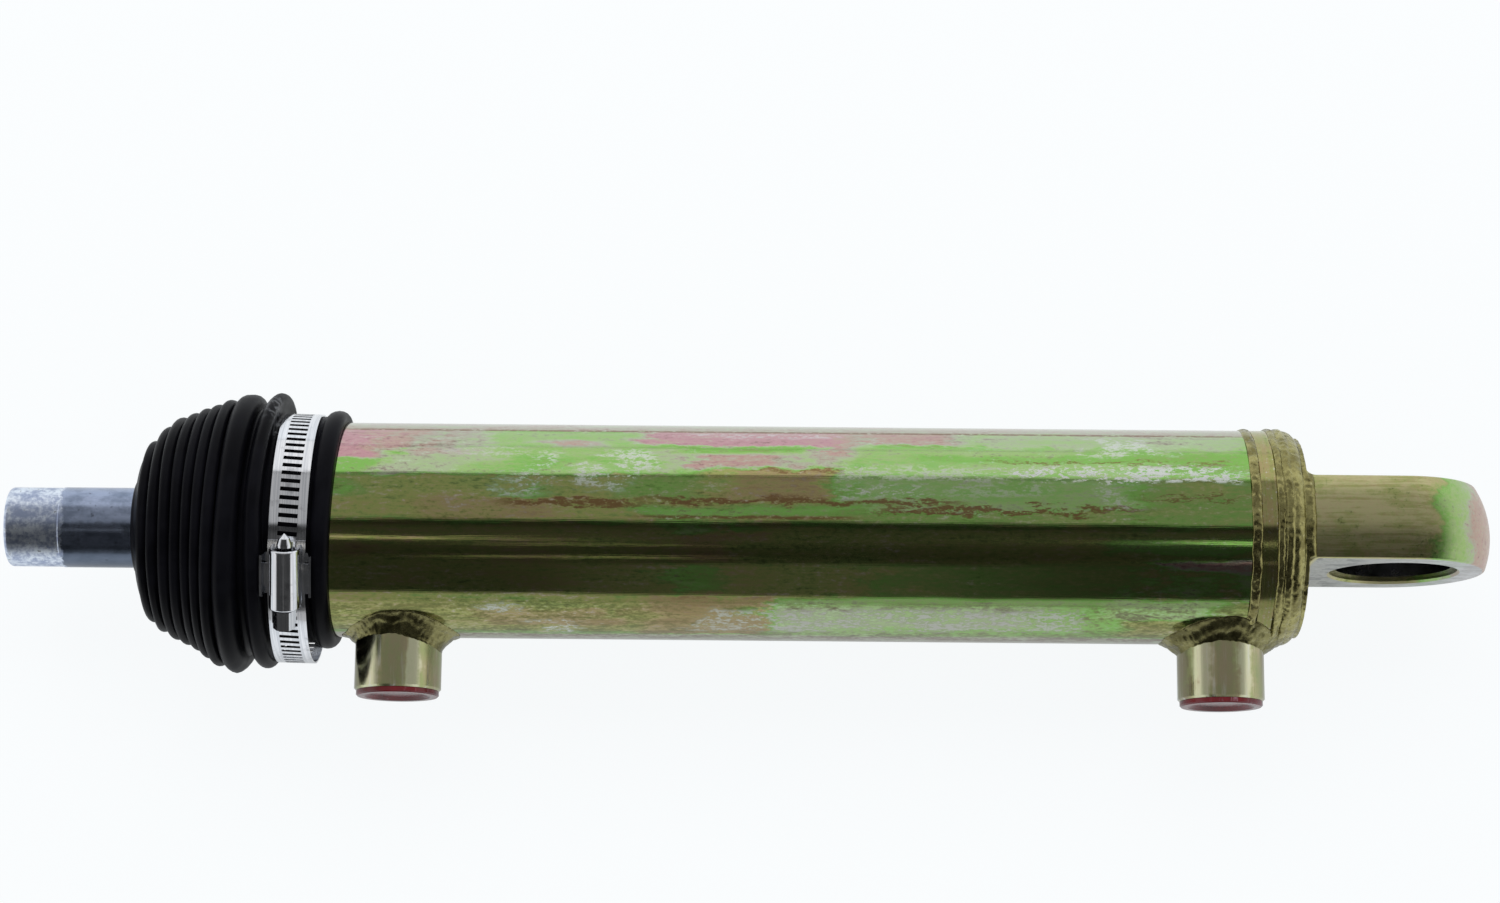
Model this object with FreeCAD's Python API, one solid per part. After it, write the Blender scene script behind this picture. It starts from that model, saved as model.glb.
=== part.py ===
"""Hydraulic steering cylinder with a welded base eye, a rubber dust boot and two side ports.

The barrel lies along X with the base eye at +X and the rod end at -X. The origin is the centre of
the eye bore. The eye bore runs along Y, and the two ports open towards -Y. Sizes are millimetres.
"""
import FreeCAD
import Part
import math
import os

os.makedirs("parts", exist_ok=True)

V = FreeCAD.Vector
AXIS = V(1, 0, 0)

# Barrel tube
tube_r = 37.5
bore_r = 31.5
tube_open_x = -394.5
tube_base_x = -52.6
seat_r = 32.0
seat_end_x = -358.0
snap_groove_r = 33.2
snap_groove_x = -392.3
snap_groove_width = 2.1
weld_bevel = 1.8

# Base head and the welds at the base
head_inner_x = -56.0
head_face_x = -41.5
head_bevel_start_x = -45.7
head_bevel_end_r = 33.7
spigot_r = 31.45
tube_bead_rise = 0.5
pass_edges = [(-45.7, 37.5), (-42.9, 37.5), (-39.8, 37.45), (-35.6, 34.7), (-31.8, 33.4)]
pass_rise = 0.45

# Base eye
eye_r = 33.5
eye_thickness = 29.4
eye_offset_y = 2.5
eye_shoulder_x = -34.2
eye_shoulder_fillet = 3.5
eye_bore_r = 22.0
eye_chamfer = 0.8
eye_edge_round = 1.2
bush_r = 20.0
bush_length = 25.0
bush_split = 0.6

# Ports
port_xs = {"front": -346.3, "rear": -60.9}
boss_mouth_ys = {"front": -56.7, "rear": -57.8}
boss_r = 15.0
boss_chamfer = 0.8
thread_bore_r = 8.2
thread_depth = 13.0
oil_hole_r = 5.0
port_weld_shape = {
    "front": {"foot_r": 20.4, "foot_lean": 1.2, "leg": 5.6, "leg_lean": 1.6, "crown": -0.3},
    "rear": {"foot_r": 21.3, "foot_lean": 0.0, "leg": 4.6, "leg_lean": -0.2, "crown": 0.5},
}
plug_flange_r = 14.3
plug_flange_thickness = 1.8
plug_dish_r = 11.5
plug_dish_depth = 1.1
plug_skirt_r = 8.05
plug_skirt_wall = 1.5
plug_skirt_length = 8.0

# Piston rod and what it carries
rod_r = 14.0
rod_end_x = -483.2
journal_r = 13.8
journal_end_x = -464.1
rod_end_round = 1.6
rod_shoulder_x = -97.0
rod_spigot_r = 10.0
rod_tail_x = -58.5
piston_r = 31.2
piston_length = 25.0
piston_bore_r = 10.04
nut_flats = 30.0
nut_length = 12.0
wear_ring_width = 3.9
wear_ring_seat_r = 29.0
seal_width = 5.6
seal_seat_r = 26.5
o_ring_seat_r = 12.2
slide_gap = 0.05
piston_end_x = rod_shoulder_x + piston_length
piston_mid_x = rod_shoulder_x + piston_length / 2
wear_ring_xs = [rod_shoulder_x + 2, piston_end_x - 2 - wear_ring_width]

# Rod gland
gland_outer_x = -390.1
gland_nose_x = -328.0
gland_nose_r = 22.0
gland_land_r = 14.45
rod_seal_x = -382.0
rod_seal_length = 8.0
rod_seal_groove_r = 19.5
wiper_end_x = -384.6
wiper_groove_r = 18.5
guide_bush_r = 16.5
guide_bush_start_x = -352.0
gland_ring_groove_x = -369.0
gland_ring_groove_width = 7.0
gland_ring_groove_r = 28.3
gland_o_ring_r = 1.77
backup_ring_width = 2.2
snap_inner_r = 28.6
snap_r = 33.0
snap_gap = 16.0
snap_ear_r = 2.6
snap_eyelet_r = 1.1

# Dust boot: the crest of each fold as its place along the axis, its radius and its half width
boot_folds = [
    (-432.3, 31.7, 1.95),
    (-428.0, 36.0, 2.05),
    (-423.6, 38.9, 2.05),
    (-419.4, 40.5, 1.95),
    (-415.4, 42.4, 1.75),
    (-411.6, 44.4, 1.75),
    (-407.5, 46.5, 2.0),
    (-401.1, 48.6, 4.1),
    (-392.3, 48.0, 2.7),
]
boot_wall = 1.1
boot_fold_depth = 9.5
boot_last_fold_depth = 6.0
boot_neck_x = -438.5
boot_neck_length = 8.0
boot_neck_r = 17.2
boot_neck_bore_r = 14.05
boot_cuff_r = 39.5
boot_cuff_bore_r = 37.55
boot_lip_start_x = -373.4
boot_lip_end_x = -366.9
boot_lip_r = 41.6

# Worm-drive clamp on the cuff
band_x = -381.3
band_width = 12.7
band_inner_r = 42.9
band_thickness = 0.6
band_offset_y = -3.2
band_turn_deg = -1.1
band_swing_deg = 1.2
slot_pitch_deg = 4.1
slot_count = 80
slot_length = 6.6
slot_height = 1.5
slot_slant_deg = -3.0
lap_half_length = 11.5
housing_angle_deg = 26.0
housing_width = 10.2
housing_length = 21.0
housing_wall = 0.9
housing_end_round = 0.7
worm_axis_r = 48.7
worm_r = 4.05
worm_groove_depth = 0.7
worm_pitch = 3.1
saddle_width = 15.4
saddle_length = 14.4
saddle_height = 3.2
wing_flare = 1.0
screw_head_flats = 7.0
screw_head_length = 6.3
screw_tip_length = 5.2
screw_neck_r = 2.6
lap_r = band_inner_r + 2 * band_thickness


def line(a, b):
    return Part.LineSegment(V(a[0], a[1], 0), V(b[0], b[1], 0)).toShape()


def arc(a, middle, b):
    return Part.Arc(V(a[0], a[1], 0), V(middle[0], middle[1], 0), V(b[0], b[1], 0)).toShape()


def polygon(points):
    """Closed edges through points in the XY plane."""
    return [line(a, b) for a, b in zip(points, points[1:] + points[:1])]


def turned(edges):
    """Solid turned about the barrel axis from a closed profile of (x, radius)."""
    return Part.Face(Part.Wire(Part.__sortEdges__(edges))).revolve(V(0, 0, 0), AXIS, 360)


def ring(x_start, x_end, r_inner, r_outer):
    return turned(polygon([(x_start, r_inner), (x_end, r_inner), (x_end, r_outer), (x_start, r_outer)]))


def rod_along_x(x_start, x_end, radius, y=0.0):
    return Part.makeCylinder(radius, x_end - x_start, V(x_start, y, 0), AXIS)


def round_ring(x, r_centre, r_section):
    """Torus about the barrel axis, such as an O-ring."""
    return Part.makeTorus(r_centre, r_section, V(x, 0, 0), AXIS)


def port_cylinder(port_x, radius, y_start, y_end):
    """Cylinder along -Y from y_start out to y_end."""
    return Part.makeCylinder(radius, y_start - y_end, V(port_x, y_start, 0), V(0, -1, 0))


def barrel_tube():
    outline = [
        (tube_open_x + 1.5, tube_r),
        (tube_base_x - weld_bevel, tube_r),
        (tube_base_x, tube_r - weld_bevel),
        (tube_base_x, bore_r),
        (seat_end_x + 0.5, bore_r),
        (seat_end_x, seat_r),
        (snap_groove_x + snap_groove_width, seat_r),
        (snap_groove_x + snap_groove_width, snap_groove_r),
        (snap_groove_x, snap_groove_r),
        (snap_groove_x, seat_r),
        (tube_open_x + 0.8, seat_r),
        (tube_open_x, seat_r + 0.8),
        (tube_open_x, tube_r - 1.5),
    ]
    tube = turned(polygon(outline))
    for port_x in port_xs.values():
        tube = tube.cut(port_cylinder(port_x, oil_hole_r, -20, -45))
    return tube


def base_head():
    outline = [
        (head_inner_x, 0),
        (head_face_x, 0),
        (head_face_x, head_bevel_end_r),
        (head_bevel_start_x, tube_r),
        (tube_base_x + weld_bevel, tube_r),
        (tube_base_x, tube_r - weld_bevel),
        (tube_base_x, spigot_r),
        (head_inner_x + 1, spigot_r),
        (head_inner_x, spigot_r - 1),
    ]
    return turned(polygon(outline))


def tube_weld():
    """Single bead that fills the bevels between tube and base head."""
    left = (tube_base_x - weld_bevel, tube_r)
    right = (tube_base_x + weld_bevel, tube_r)
    crown = (tube_base_x, tube_r + tube_bead_rise)
    root = (tube_base_x, tube_r - weld_bevel)
    return turned([arc(left, crown, right), line(right, root), line(root, left)])


def eye_flats():
    """The two blocks of space beside the flats of the eye, with a milled round in the corner."""
    x_start = eye_shoulder_x
    x_end = eye_r + 10
    blocks = []
    for side in (1, -1):
        y_flat = eye_offset_y + side * eye_thickness / 2
        y_far = eye_offset_y + side * (eye_r + 10)
        f = eye_shoulder_fillet
        k = f * (1 - math.sqrt(0.5))
        corner = [
            arc((x_start, y_flat + side * f), (x_start + k, y_flat + side * k), (x_start + f, y_flat)),
            line((x_start + f, y_flat), (x_end, y_flat)),
            line((x_end, y_flat), (x_end, y_far)),
            line((x_end, y_far), (x_start, y_far)),
            line((x_start, y_far), (x_start, y_flat + side * f)),
        ]
        block = Part.Face(Part.Wire(corner)).extrude(V(0, 0, 2 * eye_r + 20))
        block.translate(V(0, 0, -eye_r - 10))
        blocks.append(block)
    return blocks


def eye_blank():
    """Round bar with a ball end, before the flats and the bore."""
    outline = [
        line((head_face_x, 0), (head_face_x, eye_r)),
        line((head_face_x, eye_r), (0, eye_r)),
        arc((0, eye_r), (eye_r * math.sqrt(0.5), eye_r * math.sqrt(0.5)), (eye_r, 0)),
        line((eye_r, 0), (head_face_x, 0)),
    ]
    return turned(outline)


def on_flat(edge, y):
    """True for an edge in the plane of a flat, clear of the shoulder."""
    box = edge.BoundBox
    return abs(box.YMin - y) < 0.01 and abs(box.YMax - y) < 0.01 and box.XMax > eye_shoulder_x / 2


def base_eye():
    eye = eye_blank()
    for block in eye_flats():
        eye = eye.cut(block)
    y_low = eye_offset_y - eye_thickness / 2
    y_high = eye_offset_y + eye_thickness / 2
    rims = [edge for edge in eye.Edges if on_flat(edge, y_low) or on_flat(edge, y_high)]
    eye = eye.makeFillet(eye_edge_round, rims)
    eye = eye.cut(Part.makeCylinder(eye_bore_r, 2 * eye_r, V(0, -eye_r, 0), V(0, 1, 0)))
    mouth_r = eye_bore_r + eye_chamfer
    for y, direction in ((y_low, 1), (y_high, -1)):
        mouth = Part.makeCone(mouth_r, eye_bore_r, eye_chamfer, V(0, y, 0), V(0, direction, 0))
        eye = eye.cut(mouth)
    return eye.removeSplitter()


def eye_weld():
    """Three welding passes in the groove behind the eye, and a toe pass up the bar."""
    edges = []
    for a, b in zip(pass_edges, pass_edges[1:]):
        span = math.hypot(b[0] - a[0], b[1] - a[1])
        out = ((a[1] - b[1]) / span * pass_rise, (b[0] - a[0]) / span * pass_rise)
        crown = ((a[0] + b[0]) / 2 + out[0], (a[1] + b[1]) / 2 + out[1])
        edges.append(arc(a, crown, b))
    foot = (pass_edges[-1][0], eye_r - 6)
    back = (head_face_x, eye_r - 6)
    root = (head_face_x, head_bevel_end_r)
    edges += [line(pass_edges[-1], foot), line(foot, back), line(back, root), line(root, pass_edges[0])]
    weld = turned(edges).cut(eye_blank())
    for block in eye_flats():
        weld = weld.cut(block)
    return weld


def eye_bush():
    """Wrapped sleeve with its seam, pressed into the eye a little below both faces."""
    y_start = eye_offset_y - bush_length / 2
    sleeve = Part.makeCylinder(eye_bore_r, bush_length, V(0, y_start, 0), V(0, 1, 0))
    sleeve = sleeve.cut(Part.makeCylinder(bush_r, bush_length, V(0, y_start, 0), V(0, 1, 0)))
    seam = Part.makeBox(bush_split, bush_length, 8, V(-bush_split / 2, y_start, bush_r - 2))
    seam.rotate(V(0, 0, 0), V(0, 1, 0), -40)
    return sleeve.cut(seam)


def port_boss(port_x, mouth_y):
    """Round boss saddled on the tube, with its thread bore and the oil hole."""
    boss = port_cylinder(port_x, boss_r, -20, mouth_y)
    boss = boss.cut(rod_along_x(port_x - 30, port_x + 30, tube_r))
    boss = boss.cut(port_cylinder(port_x, oil_hole_r, -20, mouth_y))
    boss = boss.cut(port_cylinder(port_x, thread_bore_r, mouth_y + thread_depth, mouth_y))
    mouth_place = V(port_x, mouth_y, 0)
    inward = V(0, 1, 0)
    mouth = Part.makeCone(thread_bore_r + 1, thread_bore_r, 1, mouth_place, inward)
    blank_end = Part.makeCone(boss_r - boss_chamfer, boss_r, boss_chamfer, mouth_place, inward)
    corner = port_cylinder(port_x, boss_r + 1, mouth_y + boss_chamfer, mouth_y).cut(blank_end)
    return boss.cut(mouth).cut(corner)


def saddle_loop(port_x, radius, barrel_r, lift, radius_lean=0.0, lift_lean=0.0):
    """Closed curve round the port that follows the barrel, lifted off it along -Y.

    The leans make the curve wider and higher towards +X, as a hand weld is.
    """
    points = []
    for step in range(24):
        angle = 2 * math.pi * step / 24
        here_r = radius + radius_lean * math.cos(angle)
        across = here_r * math.sin(angle)
        y = -math.sqrt(barrel_r ** 2 - across ** 2) - lift - lift_lean * math.cos(angle)
        points.append(V(port_x + here_r * math.cos(angle), y, across))
    curve = Part.BSplineCurve()
    curve.interpolate(Points=points, PeriodicFlag=True)
    return Part.Wire([curve.toShape()])


def port_weld(port_x, foot_r, foot_lean, leg, leg_lean, crown):
    """Fillet of weld round a port boss, saddled on the barrel."""
    middle_r = (foot_r + boss_r) / 2
    sections = [
        saddle_loop(port_x, foot_r + 0.3, tube_r - 4, 0, foot_lean),
        saddle_loop(port_x, foot_r, tube_r, 0, foot_lean),
        saddle_loop(port_x, middle_r, tube_r, leg / 2 + crown, foot_lean / 2, leg_lean / 2),
        saddle_loop(port_x, boss_r - 0.2, tube_r, leg, 0, leg_lean),
        saddle_loop(port_x, boss_r - 3, tube_r, leg, 0, leg_lean),
    ]
    weld = Part.makeLoft(sections, True, True)
    weld = weld.cut(rod_along_x(port_x - 40, port_x + 40, tube_r))
    return weld.cut(port_cylinder(port_x, boss_r, -20, -2 * tube_r))


def port_plug(port_x, mouth_y):
    """Push-in plug with a dished flange and a hollow skirt."""
    face_y = mouth_y - slide_gap
    outer_y = face_y - plug_flange_thickness
    skirt_y = face_y + plug_skirt_length
    dish_y = outer_y + plug_dish_depth
    inner_r = plug_skirt_r - plug_skirt_wall
    outline = [
        (dish_y, 0),
        (dish_y, plug_dish_r - 1.5),
        (outer_y, plug_dish_r),
        (outer_y, plug_flange_r - 0.5),
        (outer_y + 0.5, plug_flange_r),
        (face_y, plug_flange_r),
        (face_y, plug_skirt_r),
        (skirt_y - 1, plug_skirt_r),
        (skirt_y, plug_skirt_r - 0.5),
        (skirt_y, inner_r),
        (face_y, inner_r),
        (face_y, 0),
    ]
    edges = [Part.LineSegment(V(port_x + a[1], a[0], 0), V(port_x + b[1], b[0], 0)).toShape()
             for a, b in zip(outline, outline[1:] + outline[:1])]
    return Part.Face(Part.Wire(edges)).revolve(V(port_x, 0, 0), V(0, 1, 0), 360)


def piston_rod():
    nose = rod_end_round
    bulge = nose * (1 - math.sqrt(0.5))
    outline = [
        ("line", (rod_end_x, 0), (rod_end_x, journal_r - nose)),
        ("arc", (rod_end_x, journal_r - nose), (rod_end_x + bulge, journal_r - bulge),
         (rod_end_x + nose, journal_r)),
        ("line", (rod_end_x + nose, journal_r), (journal_end_x - 0.4, journal_r)),
        ("line", (journal_end_x - 0.4, journal_r), (journal_end_x, rod_r)),
        ("line", (journal_end_x, rod_r), (rod_shoulder_x, rod_r)),
        ("line", (rod_shoulder_x, rod_r), (rod_shoulder_x, rod_spigot_r)),
        ("line", (rod_shoulder_x, rod_spigot_r), (rod_tail_x - 1, rod_spigot_r)),
        ("line", (rod_tail_x - 1, rod_spigot_r), (rod_tail_x, rod_spigot_r - 1)),
        ("line", (rod_tail_x, rod_spigot_r - 1), (rod_tail_x, 0)),
        ("line", (rod_tail_x, 0), (rod_end_x, 0)),
    ]
    makers = {"line": line, "arc": arc}
    return turned([makers[kind](*points) for kind, *points in outline])


def piston():
    body = ring(rod_shoulder_x, piston_end_x, piston_bore_r, piston_r)
    for start_x in wear_ring_xs:
        end_x = start_x + wear_ring_width + slide_gap
        body = body.cut(ring(start_x - slide_gap, end_x, wear_ring_seat_r, tube_r))
    seal_start = piston_mid_x - seal_width / 2
    body = body.cut(ring(seal_start - 0.1, seal_start + seal_width + 0.1, seal_seat_r, tube_r))
    return body.cut(ring(piston_mid_x - 1.5, piston_mid_x + 1.5, piston_bore_r - 1, o_ring_seat_r))


def piston_wear_rings():
    inner_r = wear_ring_seat_r + slide_gap
    outer_r = bore_r - slide_gap
    return Part.makeCompound([ring(x, x + wear_ring_width, inner_r, outer_r) for x in wear_ring_xs])


def piston_seal():
    """Square-backed seal with a shallow groove round its face."""
    start_x = piston_mid_x - seal_width / 2
    seal = ring(start_x, start_x + seal_width, seal_seat_r + slide_gap, bore_r - slide_gap)
    return seal.cut(ring(piston_mid_x - 0.8, piston_mid_x + 0.8, bore_r - 1, bore_r))


def piston_o_ring():
    section_r = (o_ring_seat_r - rod_spigot_r) / 2 - 0.08
    return round_ring(piston_mid_x, (o_ring_seat_r + rod_spigot_r) / 2, section_r)


def piston_nut():
    corner_r = nut_flats / math.sqrt(3)
    corners = [V(piston_end_x, corner_r * math.cos(math.radians(60 * k)),
                 corner_r * math.sin(math.radians(60 * k))) for k in range(7)]
    nut = Part.Face(Part.makePolygon(corners)).extrude(V(nut_length, 0, 0))
    nut = nut.cut(rod_along_x(piston_end_x, piston_end_x + nut_length, rod_spigot_r + 0.04))
    trim = nut_flats / 2 + 3
    cone = turned(polygon([
        (piston_end_x, 0),
        (piston_end_x + nut_length, 0),
        (piston_end_x + nut_length, nut_flats / 2 - 0.6),
        (piston_end_x + nut_length - 2.2, trim),
        (piston_end_x, trim),
    ]))
    return nut.common(cone)


def rod_gland():
    outline = [
        (gland_outer_x, gland_land_r + 4.05),
        (gland_outer_x, seat_r - slide_gap),
        (seat_end_x - 0.1, seat_r - slide_gap),
        (seat_end_x - 0.1, gland_nose_r),
        (gland_nose_x - 1, gland_nose_r),
        (gland_nose_x, gland_nose_r - 1),
        (gland_nose_x, guide_bush_r),
        (guide_bush_start_x, guide_bush_r),
        (guide_bush_start_x, gland_land_r),
        (rod_seal_x + rod_seal_length, gland_land_r),
        (rod_seal_x + rod_seal_length, rod_seal_groove_r),
        (rod_seal_x, rod_seal_groove_r),
        (rod_seal_x, gland_land_r),
        (wiper_end_x, gland_land_r),
        (wiper_end_x, wiper_groove_r),
    ]
    gland = turned(polygon(outline))
    groove_end = gland_ring_groove_x + gland_ring_groove_width
    return gland.cut(ring(gland_ring_groove_x, groove_end, gland_ring_groove_r, tube_r))


def rod_guide_bush():
    return ring(guide_bush_start_x + 0.1, gland_nose_x - 1, rod_r + slide_gap, guide_bush_r)


def rod_seal():
    """Lip seal with its groove towards the oil."""
    start = rod_seal_x + 0.2
    end = rod_seal_x + rod_seal_length - 0.2
    inner = rod_r + slide_gap
    outer = rod_seal_groove_r - 0.1
    middle = (inner + outer) / 2
    return turned(polygon([
        (start, inner + 0.5),
        (start + 0.6, inner),
        (end, inner),
        (end - 0.5, middle - 0.9),
        (end - 3.5, middle),
        (end - 0.5, middle + 0.9),
        (end, outer),
        (start, outer),
    ]))


def rod_wiper():
    """Scraper ring whose lip leans out along the rod."""
    start = gland_outer_x + 0.2
    end = wiper_end_x - 0.1
    inner = rod_r + slide_gap
    outer = wiper_groove_r - 0.1
    return turned(polygon([
        (start - 2.4, inner),
        (end - 2, inner),
        (end - 1.6, inner + 0.8),
        (end, inner + 0.8),
        (end, outer),
        (start, outer),
        (start, inner + 2.4),
        (start - 2.2, inner + 0.7),
    ]))


def gland_retaining_ring():
    """Open spring ring in the groove at the mouth of the tube."""
    start = snap_groove_x + slide_gap
    end = snap_groove_x + snap_groove_width - 2 * slide_gap
    snap = ring(start, end, snap_inner_r, snap_r)
    gap = Part.makeBox(10, snap_gap, 20, V(snap_groove_x - 4, -snap_gap / 2, snap_inner_r - 6))
    snap = snap.cut(gap)
    for side in (1, -1):
        ear_place = V(0, side * (snap_gap / 2 + snap_ear_r), snap_inner_r + 0.6)
        ear = rod_along_x(start, end, snap_ear_r)
        ear.translate(ear_place)
        eyelet = rod_along_x(start, end, snap_eyelet_r)
        eyelet.translate(ear_place)
        snap = snap.fuse(ear).cut(eyelet)
    return snap.common(rod_along_x(snap_groove_x, snap_groove_x + snap_groove_width, snap_r))


def gland_o_ring():
    x = gland_ring_groove_x + gland_ring_groove_width - 2.4
    return round_ring(x, gland_ring_groove_r + gland_o_ring_r + slide_gap, gland_o_ring_r)


def gland_backup_ring():
    start = gland_ring_groove_x + 0.2
    return ring(start, start + backup_ring_width, gland_ring_groove_r + slide_gap, seat_r - 0.1)


def boot_side(inset):
    """One side of the boot's wall, from the neck to the cuff.

    inset is 0 for the outer side and the wall's thickness for the inner side.
    """
    edges = []
    first_x, first_r, first_half = boot_folds[0]
    here = (first_x - first_half + inset, first_r - first_half)
    start = here
    for index, (x, crest_r, half_width) in enumerate(boot_folds):
        shoulder_r = crest_r - half_width
        half = half_width - inset
        end = (x + half, shoulder_r)
        edges.append(arc((x - half, shoulder_r), (x, shoulder_r + half), end))
        here = end
        if index == len(boot_folds) - 1:
            break
        next_x, next_r, next_half = boot_folds[index + 1]
        next_start_x = next_x - next_half + inset
        depth = boot_last_fold_depth if index == len(boot_folds) - 2 else boot_fold_depth
        gap_half = (next_start_x - end[0]) / 2
        root_r = (crest_r + next_r) / 2 - depth + (gap_half - inset)
        edges.append(line(end, (end[0], root_r)))
        root_middle = (end[0] + gap_half, root_r - gap_half)
        edges.append(arc((end[0], root_r), root_middle, (next_start_x, root_r)))
        edges.append(line((next_start_x, root_r), (next_start_x, next_r - next_half)))
    return edges, start, here


def dust_boot():
    """Moulded boot with closely pressed folds, a neck on the rod and a cuff on the tube."""
    outer, outer_start, outer_end = boot_side(0)
    inner, inner_start, inner_end = boot_side(boot_wall)
    neck_end_x = boot_neck_x + boot_neck_length
    neck_round = (boot_neck_x + 0.8, boot_neck_r + 0.6)
    shoulder = (outer_start[0] - 1.6, outer_start[1] - 4.5)
    neck = [
        line(outer_start, shoulder),
        line(shoulder, neck_round),
        line(neck_round, (boot_neck_x, boot_neck_r - 0.6)),
        line((boot_neck_x, boot_neck_r - 0.6), (boot_neck_x, boot_neck_bore_r)),
        line((boot_neck_x, boot_neck_bore_r), (neck_end_x, boot_neck_bore_r)),
        line((neck_end_x, boot_neck_bore_r), (neck_end_x, boot_neck_r - 1)),
        line((neck_end_x, boot_neck_r - 1), (boot_neck_x + 2.6, boot_neck_r - 0.4)),
        line((boot_neck_x + 2.6, boot_neck_r - 0.4), (inner_start[0] - 1.2, inner_start[1] - 5.0)),
        line((inner_start[0] - 1.2, inner_start[1] - 5.0), inner_start),
    ]
    lip_mid_x = (boot_lip_start_x + boot_lip_end_x) / 2
    lip_half = (boot_lip_end_x - boot_lip_start_x) / 2
    lip_foot_r = boot_lip_r - lip_half * 0.7
    corner = (inner_end[0], boot_cuff_bore_r + 1.6)
    cuff = [
        line(outer_end, (outer_end[0], boot_cuff_r)),
        line((outer_end[0], boot_cuff_r), (boot_lip_start_x, boot_cuff_r)),
        arc((boot_lip_start_x, boot_cuff_r), (lip_mid_x, boot_lip_r), (boot_lip_end_x, lip_foot_r)),
        line((boot_lip_end_x, lip_foot_r), (boot_lip_end_x, boot_cuff_bore_r)),
        line((boot_lip_end_x, boot_cuff_bore_r), (inner_end[0] + 1.6, boot_cuff_bore_r)),
        line((inner_end[0] + 1.6, boot_cuff_bore_r), corner),
        line(corner, inner_end),
    ]
    return turned(outer + inner + neck + cuff)


def place_clamp(shape):
    """From the clamp's own frame to its place round the cuff.

    In its own frame the band's axis is X, and the screw housing is on +Z with the screw along Y.
    """
    shape.rotate(V(0, 0, 0), AXIS, housing_angle_deg)
    shape.rotate(V(0, 0, 0), V(0, 0, 1), band_turn_deg)
    shape.rotate(V(0, 0, 0), V(0, 1, 0), band_swing_deg)
    shape.translate(V(band_x, band_offset_y, 0))
    return shape


def clamp_band():
    """Slotted strip bent to a ring, with a second layer where its ends lap under the housing."""
    band = ring(-band_width / 2, band_width / 2, band_inner_r, band_inner_r + band_thickness)
    r_start = band_inner_r - 2
    slots = []
    for index in range(slot_count):
        angle = (360 - (slot_count - 1) * slot_pitch_deg) / 2 + index * slot_pitch_deg
        slot = Part.makeBox(slot_length, slot_height, 4, V(-slot_length / 2, -slot_height / 2, r_start))
        slot.rotate(V(0, 0, 0), V(0, 0, 1), slot_slant_deg)
        slot.rotate(V(0, 0, 0), AXIS, angle)
        slots.append(slot)
    band = band.cut(Part.makeCompound(slots))
    lap = ring(-band_width / 2, band_width / 2, band_inner_r + band_thickness - 0.1,
               band_inner_r + 2 * band_thickness)
    corner = V(-band_width / 2 - 1, -lap_half_length, 30)
    window = Part.makeBox(band_width + 2, 2 * lap_half_length, 20, corner)
    return place_clamp(band.fuse(lap.common(window)).removeSplitter())


def clamp_housing():
    """Pressed arch over the worm, standing in a cradle folded up beside the band."""
    outer_half = housing_width / 2
    inner_half = outer_half - housing_wall
    foot_z = lap_r + 0.05
    spring_z = worm_axis_r + 0.15

    def arch(half, foot):
        return [
            Part.LineSegment(V(-half, 0, foot), V(-half, 0, spring_z)).toShape(),
            Part.Arc(V(-half, 0, spring_z), V(0, 0, spring_z + half), V(half, 0, spring_z)).toShape(),
            Part.LineSegment(V(half, 0, spring_z), V(half, 0, foot)).toShape(),
            Part.LineSegment(V(half, 0, foot), V(-half, 0, foot)).toShape(),
        ]

    solid = Part.Face(Part.Wire(arch(outer_half, foot_z))).extrude(V(0, housing_length, 0))
    hollow = Part.Face(Part.Wire(arch(inner_half, foot_z - 5))).extrude(V(0, housing_length, 0))
    crown_edges = [edge for edge in solid.Edges if edge.Length > 10 and edge.BoundBox.YLength < 0.01
                   and edge.BoundBox.ZMax > spring_z + 1]
    shell = solid.makeFillet(housing_end_round, crown_edges).cut(hollow)
    shell.translate(V(0, -housing_length / 2, 0))
    cradle_half = saddle_width / 2
    plate_top_r = band_inner_r - 0.05
    tray = ring(-cradle_half, cradle_half, plate_top_r - 0.8, plate_top_r)
    window = Part.makeBox(2 * cradle_half, saddle_length, 20, V(-cradle_half, -saddle_length / 2, 30))
    tray = tray.common(window)
    foot_r = plate_top_r - 0.8
    wing_r = lap_r + saddle_height
    wide_corner = V(-saddle_width, -saddle_length / 2, 30)
    wide = Part.makeBox(2 * saddle_width, saddle_length, 20, wide_corner)
    for side in (1, -1):
        wall = turned(polygon([
            (side * (cradle_half - 0.8), foot_r),
            (side * cradle_half, foot_r),
            (side * (cradle_half + wing_flare), wing_r - 0.2),
            (side * (cradle_half + wing_flare - 0.8), wing_r),
        ]))
        tray = tray.fuse(wall.common(wide))
        x_tie = side * (outer_half + cradle_half) / 2
        tie_half = (cradle_half - outer_half) / 2 + 0.1
        tie = ring(x_tie - tie_half, x_tie + tie_half, foot_z, foot_z + 0.8)
        tie_window = Part.makeBox(2 * tie_half, 8, 20, V(x_tie - tie_half, -4, 30))
        tray = tray.fuse(tie.common(tie_window))
    return place_clamp(shell.fuse(tray).removeSplitter())


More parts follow.
